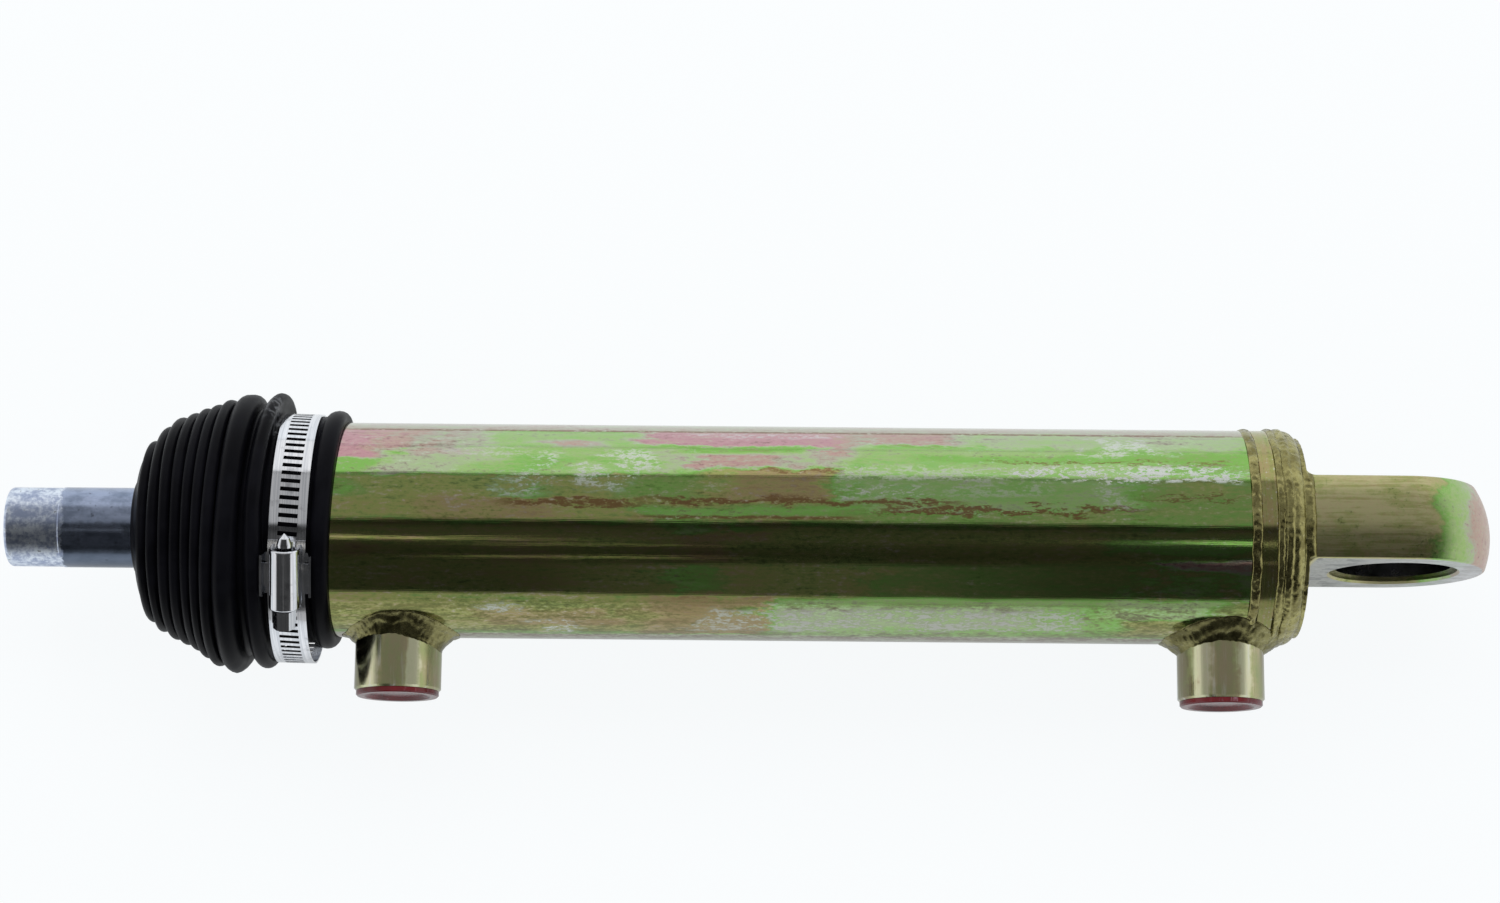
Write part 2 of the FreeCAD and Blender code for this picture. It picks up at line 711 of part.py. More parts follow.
def clamp_screw():
    """Worm with ring grooves, a slotted hexagon head and a pointed tip."""
    half = housing_length / 2
    groove_bottom = worm_r - worm_groove_depth
    neck_r = screw_neck_r
    points = [(-half + 1, 0), (-half + 1, groove_bottom)]
    turns = int((housing_length - 3) / worm_pitch)
    for index in range(turns):
        x = -half + 1.4 + index * worm_pitch
        points += [
            (x, groove_bottom),
            (x + 0.7, worm_r),
            (x + 1.5, worm_r),
            (x + 2.2, groove_bottom),
        ]
    last_x = points[-1][0] + 1
    tip_x = half + screw_tip_length
    points += [
        (last_x, groove_bottom),
        (last_x, neck_r),
        (tip_x - 3.8, neck_r),
        (tip_x - 1.6, 0.7 * neck_r),
        (tip_x, 0),
    ]
    worm = turned(polygon(points))
    neck = rod_along_x(-half - 1, -half + 1, neck_r)
    corner_r = screw_head_flats / math.sqrt(3)
    corners = [V(-half - 0.6, corner_r * math.cos(math.radians(60 * k)),
                 corner_r * math.sin(math.radians(60 * k))) for k in range(7)]
    head = Part.Face(Part.makePolygon(corners)).extrude(V(-screw_head_length, 0, 0))
    slot = Part.makeBox(1.8, 20, 1.3, V(-half - 0.6 - screw_head_length, -10, -0.65))
    screw = worm.fuse(neck).fuse(head.cut(slot)).removeSplitter()
    screw.rotate(V(0, 0, 0), V(0, 0, 1), 90)
    screw.translate(V(0, 0, worm_axis_r))
    return place_clamp(screw)


def save(name, shape):
    shape.exportStep(f"parts/{name}.step")


bead = tube_weld()
passes = eye_weld()
bosses = {}
for place, x in port_xs.items():
    boss = port_boss(x, boss_mouth_ys[place])
    weld = port_weld(x, **port_weld_shape[place])
    if place == "rear":
        boss = boss.cut(bead)
        weld = weld.cut(bead).cut(passes)
    save(f"{place}_port_boss", boss)
    save(f"{place}_port_weld", weld)
    save(f"{place}_port_plug", port_plug(x, boss_mouth_ys[place]))

save("barrel_tube", barrel_tube())
save("base_head", base_head())
save("tube_weld", bead)
save("eye_weld", passes)
save("base_eye", base_eye())
save("eye_bush", eye_bush())
save("piston_rod", piston_rod())
save("piston", piston())
save("piston_wear_rings", piston_wear_rings())
save("piston_seal", piston_seal())
save("piston_o_ring", piston_o_ring())
save("piston_nut", piston_nut())
save("rod_gland", rod_gland())
save("rod_guide_bush", rod_guide_bush())
save("rod_seal", rod_seal())
save("rod_wiper", rod_wiper())
save("gland_retaining_ring", gland_retaining_ring())
save("gland_o_ring", gland_o_ring())
save("gland_backup_ring", gland_backup_ring())
save("dust_boot", dust_boot())
save("clamp_band", clamp_band())
save("clamp_housing", clamp_housing())
save("clamp_screw", clamp_screw())
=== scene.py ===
"""Dresses the hydraulic steering cylinder: finishes, soft boot, rippled welds, stage and camera.

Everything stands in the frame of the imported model. Lengths are metres, or millimetres where the
name ends in _mm. A turn is an angle round the barrel, 0 on the side that faces the camera.
"""
import math
import bpy
from mathutils import Matrix, Vector, noise
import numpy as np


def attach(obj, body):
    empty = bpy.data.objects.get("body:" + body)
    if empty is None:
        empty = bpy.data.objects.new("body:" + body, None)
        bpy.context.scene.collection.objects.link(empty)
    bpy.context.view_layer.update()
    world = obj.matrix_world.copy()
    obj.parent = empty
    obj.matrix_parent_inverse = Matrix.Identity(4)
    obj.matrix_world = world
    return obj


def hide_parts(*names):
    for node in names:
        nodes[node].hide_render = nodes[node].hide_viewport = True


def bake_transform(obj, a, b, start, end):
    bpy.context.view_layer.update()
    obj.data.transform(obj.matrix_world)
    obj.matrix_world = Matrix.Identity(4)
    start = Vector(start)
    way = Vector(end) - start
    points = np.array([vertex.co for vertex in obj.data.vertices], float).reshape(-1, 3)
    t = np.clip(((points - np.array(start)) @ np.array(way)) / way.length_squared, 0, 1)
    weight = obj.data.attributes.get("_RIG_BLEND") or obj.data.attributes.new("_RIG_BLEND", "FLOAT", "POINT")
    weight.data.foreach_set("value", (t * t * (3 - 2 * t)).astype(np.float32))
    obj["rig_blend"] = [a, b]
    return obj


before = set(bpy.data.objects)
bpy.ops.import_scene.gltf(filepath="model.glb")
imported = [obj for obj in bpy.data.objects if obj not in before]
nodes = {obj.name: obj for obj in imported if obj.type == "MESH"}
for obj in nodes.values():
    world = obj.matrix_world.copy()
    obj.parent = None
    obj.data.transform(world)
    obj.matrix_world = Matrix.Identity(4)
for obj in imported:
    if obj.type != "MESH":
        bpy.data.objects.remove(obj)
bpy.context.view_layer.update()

MM = 0.001

# Camera
VIEW_TILT = math.radians(11.5)
CAMERA_TARGET = Vector((-0.2249, 0.0281, 0.0057))
CAMERA_DISTANCE = 1.155
CAMERA_ROLL = math.radians(0.52)
CAMERA_LENS_MM = 79.2
CAMERA_SENSOR_MM = 36.0

# Sizes shared with the solids, in millimetres
TUBE_R_MM = 37.5
BOSS_R_MM = 15.0
PORT_X_MM = {"front": -346.3, "rear": -60.9}

# The chromate film changes colour with its thickness, from the thinnest stage to the thickest
FILM = {
    "brown": (0.26, 0.17, 0.075),
    "tan": (0.40, 0.33, 0.16),
    "olive": (0.35, 0.39, 0.13),
    "green": (0.26, 0.39, 0.12),
    "vivid": (0.23, 0.50, 0.11),
    "lime": (0.35, 0.53, 0.20),
    "pale": (0.42, 0.52, 0.31),
    "grey": (0.45, 0.43, 0.35),
    "rose": (0.50, 0.36, 0.30),
    "mauve": (0.54, 0.31, 0.34),
}
STAGE = {name: index / (len(FILM) - 1) for index, name in enumerate(FILM)}
OXIDE = (0.72, 0.75, 0.72)
# Colour of dirt, used too for painted shade and painted dark reflections
DIRT_AND_SHADE = (0.10, 0.075, 0.035)
# Brown of the drying lines, used too for a painted dark reflection line
STAIN_AND_SHADE = (0.20, 0.11, 0.05)

# Turns between which the side of the ports is darkened as painted shade
SHADED_TURN = (-34.0, -42.0)


# The other finishes, as pairs of a dark and a light tone, and what lies on them
RING_WELD = ((0.20, 0.18, 0.07), (0.42, 0.39, 0.16))
# The port welds take the ring weld's metal in darker tones, as painted shade
SHADED_PORT_WELD = ((0.12, 0.11, 0.045), (0.30, 0.28, 0.12))
WELD_SOOT = (0.035, 0.03, 0.015)
WELD_GLINT = (0.60, 0.58, 0.36)
WORN_EYE = (0.66, 0.62, 0.36)
MILLED_FLAT = ((0.38, 0.39, 0.39), (0.62, 0.64, 0.66))
FLAT_SMEAR = (0.10, 0.11, 0.14)
# Tint of the painted highlights on the port bosses
BOSS_HIGHLIGHT_TINT = (0.86, 0.86, 0.60)
CHROME = ((0.20, 0.245, 0.34), (0.36, 0.42, 0.57))
DULL_CHROME = ((0.34, 0.40, 0.56), (0.84, 0.91, 1.0))
# Colour of the rod's smears and of its painted shade
CHROME_SMEAR_AND_SHADE = (0.07, 0.09, 0.12)
CHROME_FLECK = (0.05, 0.06, 0.08)
RUBBER = ((0.0024, 0.0024, 0.0034), (0.0042, 0.0042, 0.0060))
RUBBER_DUST = (0.30, 0.30, 0.32)
RUBBER_SMUDGE = (0.6, 0.62, 0.66)
STAINLESS = ((0.66, 0.68, 0.72), (0.86, 0.87, 0.90))
STAINLESS_STAIN = (0.34, 0.34, 0.36)
RED_PLASTIC = ((0.075, 0.0025, 0.004), (0.13, 0.005, 0.009))
SCUFFED_RED = (0.50, 0.34, 0.40)
BUSH_STEEL = ((0.07, 0.07, 0.07), (0.17, 0.17, 0.18))
TURNED_STEEL = ((0.38, 0.38, 0.39), (0.52, 0.52, 0.53))
BRONZE = ((0.48, 0.30, 0.12), (0.62, 0.42, 0.17))
BEARING_PLASTIC = ((0.28, 0.11, 0.05), (0.42, 0.17, 0.09))
SEAL_PLASTIC = ((0.07, 0.16, 0.38), (0.13, 0.24, 0.52))
SEAL_RUBBER = ((0.014, 0.014, 0.014), (0.028, 0.028, 0.028))


class Graph:
    """A node tree in short notation. A value is a number, a tuple or another node's output."""

    def __init__(self, tree):
        self.tree = tree
        tree.nodes.clear()

    def node(self, kind, inputs=None, **settings):
        made = self.tree.nodes.new("ShaderNode" + kind)
        for key, value in settings.items():
            setattr(made, key, value)
        for key, value in (inputs or {}).items():
            self.feed(made.inputs[key], value)
        return made

    def feed(self, socket, value):
        if isinstance(value, bpy.types.NodeSocket):
            self.tree.links.new(value, socket)
        elif socket.type == "RGBA" and len(value) == 3:
            socket.default_value = (*value, 1.0)
        else:
            socket.default_value = value

    def math(self, operation, *values):
        made = self.node("Math", operation=operation)
        for socket, value in zip(made.inputs, values):
            self.feed(socket, value)
        return made.outputs[0]

    def add(self, a, b):
        return self.math("ADD", a, b)

    def times(self, a, b):
        return self.math("MULTIPLY", a, b)

    def step(self, value, low, high, out_low=0.0, out_high=1.0):
        """Smooth step from out_low at low to out_high at high."""
        inputs = {0: value, 1: low, 2: high, 3: out_low, 4: out_high}
        return self.node("MapRange", inputs, interpolation_type="SMOOTHSTEP").outputs[0]

    def band(self, value, low, high, soft):
        """1 between low and high, 0 outside, with soft edges."""
        rise = self.step(value, low - soft, low + soft)
        return self.times(rise, self.step(value, high + soft, high - soft))

    def mix(self, factor, a, b):
        made = self.node("Mix", data_type="RGBA")
        self.feed(made.inputs[0], factor)
        self.feed(made.inputs[6], a)
        self.feed(made.inputs[7], b)
        return made.outputs[2]

    def blend(self, factor, a, b):
        """Like mix, for plain values."""
        made = self.node("Mix", data_type="FLOAT")
        for index, value in ((0, factor), (2, a), (3, b)):
            self.feed(made.inputs[index], value)
        return made.outputs[0]

    def largest(self, *values):
        result = values[0]
        for value in values[1:]:
            result = self.math("MAXIMUM", result, value)
        return result

    def ramp(self, value, stops):
        """Colour ramp through pairs of place and colour."""
        made = self.node("ValToRGB", {0: value})
        elements = made.color_ramp.elements
        elements.remove(elements[1])
        elements[0].position = stops[0][0]
        elements[0].color = (*stops[0][1], 1.0)
        for place, colour in stops[1:]:
            elements.new(place).color = (*colour, 1.0)
        return made.outputs[0]

    def drift(self, point, scales, detail=4.0, roughness=0.6):
        """Noise about zero, stretched by a scale for each direction."""
        return self.add(self.noise(self.scaled(point, scales), 1.0, detail, roughness), -0.5)

    def scaled(self, vector, factors):
        return self.node("VectorMath", {0: vector, 1: factors}, operation="MULTIPLY").outputs[0]

    def noise(self, vector, scale, detail=3.0, roughness=0.5, distortion=0.0):
        inputs = {
            "Vector": vector,
            "Scale": scale,
            "Detail": detail,
            "Roughness": roughness,
            "Distortion": distortion,
        }
        return self.node("TexNoise", inputs).outputs[0]

    def bump(self, height, strength, distance, below=None):
        inputs = {"Height": height, "Strength": strength, "Distance": distance}
        if below is not None:
            inputs["Normal"] = below
        return self.node("Bump", inputs).outputs[0]

    def point(self):
        """Object coordinates."""
        return self.node("TexCoord").outputs["Object"]

    def place(self):
        """Object coordinates, x in millimetres and the turn round the barrel in degrees."""
        point = self.point()
        x, y, z = self.node("SeparateXYZ", {0: point}).outputs
        angle = self.math("DEGREES", self.math("ARCTAN2", y, z))
        return point, self.times(x, 1000.0), self.add(angle, math.degrees(VIEW_TILT))

    def principled(self, **inputs):
        named = {key.replace("_", " "): value for key, value in inputs.items()}
        shader = self.node("BsdfPrincipled", named)
        self.node("OutputMaterial", {"Surface": shader.outputs[0]})

    def metal(self, colour, roughness, normal):
        self.principled(Base_Color=colour, Metallic=1.0, Roughness=roughness, Normal=normal)

    def mirror_rays(self):
        """1 for what polished metal and glass see."""
        path = self.node("LightPath").outputs
        return self.math("MAXIMUM", path["Is Glossy Ray"], path["Is Transmission Ray"])


def new_graph(name):
    material = bpy.data.materials.new(name)
    material.use_nodes = True
    return material, Graph(material.node_tree)


def tube_finish(g, point):
    """Bump of the drawn tube: long shallow waves and fine lengthwise lines."""
    waves = g.noise(g.scaled(point, (9.0, 42.0, 42.0)), 1.0, 2.0)
    lines = g.noise(g.scaled(point, (60.0, 2600.0, 2600.0)), 1.0, 3.0)
    wavy = g.bump(waves, 0.5, 0.0006)
    return g.bump(lines, 0.1, 0.0001, wavy)


def film_ramp(g, stage):
    return g.ramp(stage, [(STAGE[name], film) for name, film in FILM.items()])


# Film on the barrel: from x to x along it, from turn to turn, the film's name in FILM. The grey rows along
# the top and bottom rims are painted reflections, not film.
BARREL_PATCHES = (
    (-380, -300, 8, 34, "olive"),
    (-335, -262, 8, 20, "tan"),
    (-374, -356, 20, 31, "vivid"),
    (-290, -190, 8, 34, "olive"),
    (-270, -228, 20, 34, "green"),
    (-265, -190, 9, 16, "vivid"),
    (-234, -192, 19, 38, "tan"),
    (-196, -84, 14, 34, "lime"),
    (-200, -84, 6, 13, "green"),
    (-92, -30, 8, 34, "green"),
    (-380, -349, 42, 90, "mauve"),
    (-352, -334, 50, 90, "rose"),
    (-334, -312, 40, 90, "grey"),
    (-380, -347, 33, 42, "vivid"),
    (-348, -318, 33, 46, "pale"),
    (-316, -262, 33, 68, "lime"),
    (-308, -284, 34, 44, "vivid"),
    (-300, -280, 52, 58, "rose"),
    (-262, -190, 54, 72, "mauve"),
    (-262, -246, 34, 52, "pale"),
    (-246, -204, 49.5, 53.5, "vivid"),
    (-246, -213, 38, 48, "rose"),
    (-213, -192, 38, 50, "grey"),
    (-200, -188, 46, 56, "mauve"),
    (-191, -56, 33, 54, "lime"),
    (-191, -150, 56, 72, "rose"),
    (-150, -56, 54, 74, "pale"),
    (-170, -56, 43, 49, "vivid"),
    (-90, -56, 36, 50, "vivid"),
    # Painted reflection: a grey strip along the top rim
    (-380, -30, 70, 90, "grey"),
    (-380, -265, -64, -34, "olive"),
    (-315, -270, -58, -42, "tan"),
    (-265, -216, -68, -34, "tan"),
    (-216, -110, -68, -34, "lime"),
    (-215, -130, -58, -40, "pale"),
    (-110, -56, -60, -34, "lime"),
    (-100, -64, -66, -48, "olive"),
    (-56, -30, -70, -34, "olive"),
    # Painted reflection: a grey strip along the bottom rim
    (-380, -30, -100, -68, "grey"),
    (-380, -250, -34, 6, "olive"),
    (-366, -350, -12, -5, "tan"),
    (-250, -212, -14, 2, "tan"),
    (-240, -185, -34, -14, "olive"),
    (-185, -100, -34, -14, "green"),
    (-225, -30, -14, 6, "olive"),
    (-100, -30, -7, 1, "vivid"),
    (-80, -30, -18, -10, "rose"),
)

# Wavy drying lines on the barrel, and one painted dark reflection line along the top rim: from x to x, turn,
# half width in degrees, height of the waves
BARREL_LINES = (
    (-309, -262, 17.0, 1.6, 18.0),
    (-258, -154, 18.5, 1.3, 15.0),
    (-182, -90, 14.5, 1.6, 24.0),
    (-262, -190, 9.5, 0.8, 6.0),
    (-92, -57, 22.0, 0.5, 26.0),
    (-142, -60, 43.0, 0.5, 22.0),
    (-225, -190, 36.5, 0.6, 18.0),
    # Painted dark reflection: a thin straight line along the top rim, not a drying line
    (-364, -56, 70.0, 1.1, 1.0),
)

# Whitish bloom on the barrel: from x to x, from turn to turn, strength
BARREL_BLOOM = (
    (-136, -58, 30.5, 41.0, 1.0),
    (-192, -136, 31.0, 40.0, 0.40),
    (-160, -130, 22.0, 30.0, 0.30),
    (-106, -95, 14.0, 33.0, 0.45),
    (-192, -166, 21.0, 28.0, 0.60),
    (-303, -291, 22.0, 48.0, 0.62),
    (-278, -262, 24.0, 50.0, 0.66),
    (-322, -306, 44.0, 52.0, 0.35),
    (-240, -196, 63.0, 69.0, 0.60),
    (-110, -84, 48.0, 66.0, 0.62),
    (-306, -298, -47.0, -38.0, 0.60),
    (-294, -284, -66.0, -52.0, 0.70),
    (-242, -112, -62.0, -42.0, 0.42),
)


def barrel_film(g, x, turn, fine):
    """Stage of the film before its small unevenness."""
    stage = g.step(fine, -0.12, 0.12, STAGE["olive"], STAGE["lime"])
    for x_low, x_high, turn_low, turn_high, name in BARREL_PATCHES:
        mask = g.times(g.band(x, x_low, x_high, 8.0), g.band(turn, turn_low, turn_high, 1.8))
        stage = g.blend(mask, stage, STAGE[name])
    return stage


def stain_and_shade_lines(g, colour, x, turn, ragged, flecks):
    """The colour under wavy brown lines with gaps, and under a painted dark reflection line along the top
    rim.
    """
    gap = g.step(flecks, -0.16, 0.0)
    for x_low, x_high, line_turn, half, wave in BARREL_LINES:
        wavy = g.add(turn, g.times(ragged, wave))
        across = g.band(wavy, line_turn - half, line_turn + half, 0.7)
        line = g.times(across, g.band(x, x_low, x_high, 8.0))
        colour = g.mix(g.times(g.times(line, gap), 0.9), colour, STAIN_AND_SHADE)
    return colour


def barrel_bloom(g, x, turn, ragged, flecks):
    """Strength of the whitish bloom, 0 where there is none."""
    bloom = 0.0
    for x_low, x_high, turn_low, turn_high, strength in BARREL_BLOOM:
        along = g.band(x, x_low, x_high, 4.0)
        patch = g.times(along, g.band(turn, turn_low, turn_high, 2.0))
        bloom = g.largest(bloom, g.times(patch, strength))
    crust = g.step(g.add(g.times(ragged, 0.8), flecks), -0.06, 0.12)
    return g.times(bloom, crust)


def barrel_zinc():
    """Chromate film on the barrel, with painted reflections along its rims and painted shade on the side of
    the ports. The far side repeats the near side's pattern, mirrored.
    """
    material, g = new_graph("zinc_plate_barrel")
    point, x, full_turn = g.place()
    turn = g.add(g.math("PINGPONG", g.add(full_turn, 90.0), 180.0), -90.0)
    broad = g.drift(point, (22.0, 60.0, 60.0), 3.0)
    ragged = g.drift(point, (75.0, 240.0, 240.0), 5.0, 0.7)
    streaks = g.drift(point, (30.0, 700.0, 700.0), 5.0, 0.7)
    flecks = g.drift(point, (420.0, 900.0, 900.0), 3.0, 0.7)
    soft_x = g.add(x, g.add(g.times(broad, 60.0), g.times(ragged, 40.0)))
    soft_turn = g.add(turn, g.add(g.times(broad, 9.0), g.times(ragged, 10.0)))
    stage = barrel_film(g, soft_x, soft_turn, ragged)
    uneven = g.add(g.times(broad, 0.24), g.add(g.times(ragged, 0.30), g.times(streaks, 0.30)))
    stage = g.add(stage, g.add(uneven, g.times(flecks, 0.35)))
    colour = film_ramp(g, stage)
    shade = g.add(flecks, g.add(g.times(ragged, 0.5), g.times(streaks, 0.5)))
    mottle = g.step(broad, -0.08, 0.10, 0.35, 1.0)
    colour = g.mix(g.times(mottle, g.step(shade, 0.0, 0.30, 0.0, 0.60)), colour, DIRT_AND_SHADE)
    colour = g.mix(g.times(mottle, g.step(shade, -0.04, -0.30, 0.0, 0.42)), colour, OXIDE)
    # Painted shade: the side of the ports is darkened with the dirt colour, broken up by noise
    soil = g.step(g.add(ragged, flecks), -0.16, 0.14, 0.16, 0.62)
    colour = g.mix(g.times(g.step(turn, *SHADED_TURN), soil), colour, DIRT_AND_SHADE)
    colour = stain_and_shade_lines(g, colour, x, turn, ragged, flecks)
    bloom = barrel_bloom(g, soft_x, soft_turn, ragged, flecks)
    colour = g.mix(bloom, colour, OXIDE)
    rough = g.add(g.step(streaks, -0.2, 0.2, 0.05, 0.10), g.times(bloom, 0.30))
    g.metal(colour, rough, tube_finish(g, point))
    return material


def head_zinc():
    """Chromate film on the base head's turned rim."""
    material, g = new_graph("zinc_plate_head")
    point, _, turn = g.place()
    cloud = g.drift(point, (90.0, 90.0, 90.0), 5.0, 0.7)
    lines = g.drift(point, (1400.0, 8.0, 8.0), 4.0)
    stage = g.step(cloud, -0.16, 0.16, STAGE["tan"], STAGE["olive"])
    colour = film_ramp(g, g.add(stage, g.times(lines, 0.3)))
    grit = g.drift(point, (800.0, 800.0, 800.0), 4.0, 0.7)
    soil = g.add(g.times(grit, 0.7), g.times(lines, 0.7))
    colour = g.mix(g.step(soil, 0.02, 0.22, 0.0, 0.5), colour, DIRT_AND_SHADE)
    pale = g.add(grit, g.times(lines, 0.7))
    colour = g.mix(g.step(pale, -0.10, -0.28, 0.0, 0.6), colour, OXIDE)
    # Painted shade: the side of the ports is darkened, as on the barrel
    colour = g.mix(g.times(g.step(turn, *SHADED_TURN), 0.45), colour, DIRT_AND_SHADE)
    rough = g.step(cloud, -0.2, 0.2, 0.096, 0.156)
    g.metal(colour, rough, g.bump(lines, 0.5, 0.0001))
    return material


def eye_zinc():
    """The forged eye: tan film, green and pink towards its end, and bare milled flats."""
    material, g = new_graph("zinc_plate_eye")
    point, x, _ = g.place()
    cloud = g.drift(point, (70.0, 110.0, 110.0), 5.0, 0.7)
    soft_x = g.add(x, g.times(cloud, 24.0))
    stage = g.step(cloud, -0.2, 0.2, STAGE["tan"], STAGE["olive"])
    stage = g.blend(g.step(soft_x, 7.0, 15.0), stage, STAGE["lime"])
    stage = g.blend(g.step(soft_x, 17.0, 26.0), stage, STAGE["rose"])
    specks = g.drift(point, (700.0, 700.0, 700.0), 4.0, 0.7)
    colour = film_ramp(g, g.add(stage, g.times(specks, 0.35)))
    scratches = g.drift(point, (40.0, 900.0, 900.0), 4.0, 0.7)
    worn = g.step(g.add(scratches, cloud), -0.08, 0.16, 0.55, 0.10)
    colour = g.mix(g.times(worn, g.step(soft_x, 4.0, 13.0, 1.0, 0.2)), colour, WORN_EYE)
    colour = g.mix(g.step(g.add(specks, g.times(cloud, 0.6)), 0.08, 0.30, 0.0, 0.6), colour, DIRT_AND_SHADE)
    normal_y = g.node("SeparateXYZ", {0: g.node("NewGeometry").outputs["Normal"]}).outputs[1]
    flat = g.step(g.math("ABSOLUTE", normal_y), 0.97, 0.995)
    mill = g.drift(point, (90.0, 90.0, 150.0), 5.0, 0.7)
    bare = g.mix(g.step(mill, -0.14, 0.14), *MILLED_FLAT)
    smears = g.times(g.step(x, -8.0, -20.0), g.step(mill, -0.02, 0.06))
    bare = g.mix(g.times(smears, 0.8), bare, FLAT_SMEAR)
    colour = g.mix(g.times(flat, 0.85), colour, bare)
    grain = g.noise(point, 800.0, 4.0, 0.6)
    rough = g.step(grain, 0.3, 0.7, 0.28, 0.40)
    g.metal(colour, rough, g.bump(grain, 0.12, 0.0002))
    return material


# Painted highlights and painted dark reflections, as bands along the port bosses: from and to in millimetres
# from the boss's axis, strength
BOSS_PAINTED_HIGHLIGHTS = ((-10.5, -6.0, 0.50), (4.5, 9.0, 0.60))
BOSS_PAINTED_DARK_REFLECTIONS = ((-17.0, -12.0, 0.55), (-4.0, 3.0, 0.30), (11.5, 17.0, 0.30))


def boss_zinc():
    """Chromate film on the turned bosses, with painted highlights and painted dark reflections in bands
    along them.
    """
    material, g = new_graph("zinc_plate_boss")
    point, x, _ = g.place()
    past_front = g.step(x, -201.0, -199.0)
    across = g.blend(past_front, g.add(x, -PORT_X_MM["front"]), g.add(x, -PORT_X_MM["rear"]))
    cloud = g.drift(point, (90.0, 90.0, 90.0), 5.0, 0.7)
    lines = g.drift(point, (420.0, 24.0, 420.0), 4.0)
    across = g.add(across, g.add(g.times(lines, 5.0), g.times(cloud, 8.0)))
    stage = g.step(cloud, -0.16, 0.16, STAGE["tan"], STAGE["olive"])
    colour = film_ramp(g, g.add(stage, g.times(lines, 0.2)))
    # Painted light: bands placed across each boss as on a polished cylinder
    for low, high, strength in BOSS_PAINTED_HIGHLIGHTS:
        colour = g.mix(g.times(g.band(across, low, high, 1.2), strength), colour, BOSS_HIGHLIGHT_TINT)
    for low, high, strength in BOSS_PAINTED_DARK_REFLECTIONS:
        colour = g.mix(g.times(g.band(across, low, high, 1.2), strength), colour, DIRT_AND_SHADE)
    colour = g.mix(g.step(lines, -0.04, -0.22, 0.12, 0.6), colour, OXIDE)
    rough = g.step(cloud, -0.2, 0.2, 0.12, 0.20)
    g.metal(colour, rough, g.bump(lines, 0.4, 0.0001))
    return material


def weld_metal(name, dark, light):
    """Rippled weld metal, with soot in it and painted glints in spots."""
    material, g = new_graph(name)
    point = g.point()
    cloud = g.drift(point, (150.0, 150.0, 150.0), 5.0, 0.7)
    spots = g.drift(point, (800.0, 800.0, 800.0), 4.0, 0.7)
    colour = g.mix(g.step(cloud, -0.14, 0.14), dark, light)
    colour = g.mix(g.step(spots, 0.06, 0.20, 0.0, 0.7), colour, WELD_SOOT)
    # Painted glints: pale spots standing for highlights
    colour = g.mix(g.step(spots, -0.08, -0.22, 0.0, 0.45), colour, WELD_GLINT)
    rough = g.step(cloud, -0.2, 0.2, 0.16, 0.34)
    g.metal(colour, rough, g.bump(spots, 0.3, 0.0002))
    return material


ROD_JOURNAL_END_MM = -463.4


def rod_chrome():
    """Blue-grey chrome with smears and painted shade on its lower side, and the dull mottled end with its
    uneven edge.
    """
    material, g = new_graph("rod_chrome_mottled")
    point, x, turn = g.place()
    cloud = g.drift(point, (80.0, 120.0, 120.0), 5.0, 0.7)
    fine = g.drift(point, (450.0, 450.0, 450.0), 4.0, 0.7)
    colour = g.mix(g.step(cloud, -0.14, 0.14), *CHROME)
    edge = g.add(x, g.times(cloud, 9.0))
    journal = g.step(edge, ROD_JOURNAL_END_MM + 0.6, ROD_JOURNAL_END_MM - 0.6)
    dull = g.mix(g.step(g.add(cloud, fine), -0.2, 0.2), *DULL_CHROME)
    colour = g.mix(journal, colour, dull)
    # Smears in patches, and painted shade darkening the lower turns; none on the upper side or the journal
    smear_and_shade = g.largest(g.step(cloud, 0.0, 0.12), g.step(turn, -18.0, -32.0))
    smear_and_shade = g.times(g.times(smear_and_shade, g.step(turn, 18.0, 4.0)), g.math("SUBTRACT", 1.0, journal))
    colour = g.mix(g.times(smear_and_shade, 0.75), colour, CHROME_SMEAR_AND_SHADE)
    colour = g.mix(g.step(fine, 0.13, 0.2, 0.0, 0.7), colour, CHROME_FLECK)
    rings = g.noise(g.scaled(point, (1500.0, 6.0, 6.0)), 1.0, 3.0)
    clean = g.step(cloud, -0.2, 0.2, 0.17, 0.27)
    rough = g.add(clean, g.times(journal, 0.16))
    g.metal(colour, rough, g.bump(rings, 0.15, 0.0001))
    return material


def boot_rubber():
    """Black rubber with a little dust, and a grey smudge beside the clamp."""
    material, g = new_graph("boot_rubber_satin")
    point, x, turn = g.place()
    cloud = g.noise(point, 60.0, 4.0, 0.6)
    colour = g.mix(g.step(cloud, 0.35, 0.65), *RUBBER)
    dust = g.step(g.noise(point, 420.0, 5.0, 0.75), 0.70, 0.8, 0.0, 0.10)
    colour = g.mix(dust, colour, RUBBER_DUST)
    smudge = g.times(g.band(x, -392.0, -382.0, 3.0), g.band(turn, 58.0, 80.0, 6.0))
    smudge = g.times(smudge, g.step(g.noise(point, 500.0, 3.0), 0.42, 0.62, 0.0, 0.16))
    colour = g.mix(smudge, colour, RUBBER_SMUDGE)
    rough = g.step(cloud, 0.3, 0.7, 0.34, 0.46)
    normal = g.bump(g.noise(point, 1400.0, 3.0), 0.12, 0.0001)
    g.principled(Base_Color=colour, Roughness=rough, Specular_IOR_Level=0.05, Normal=normal)
    return material


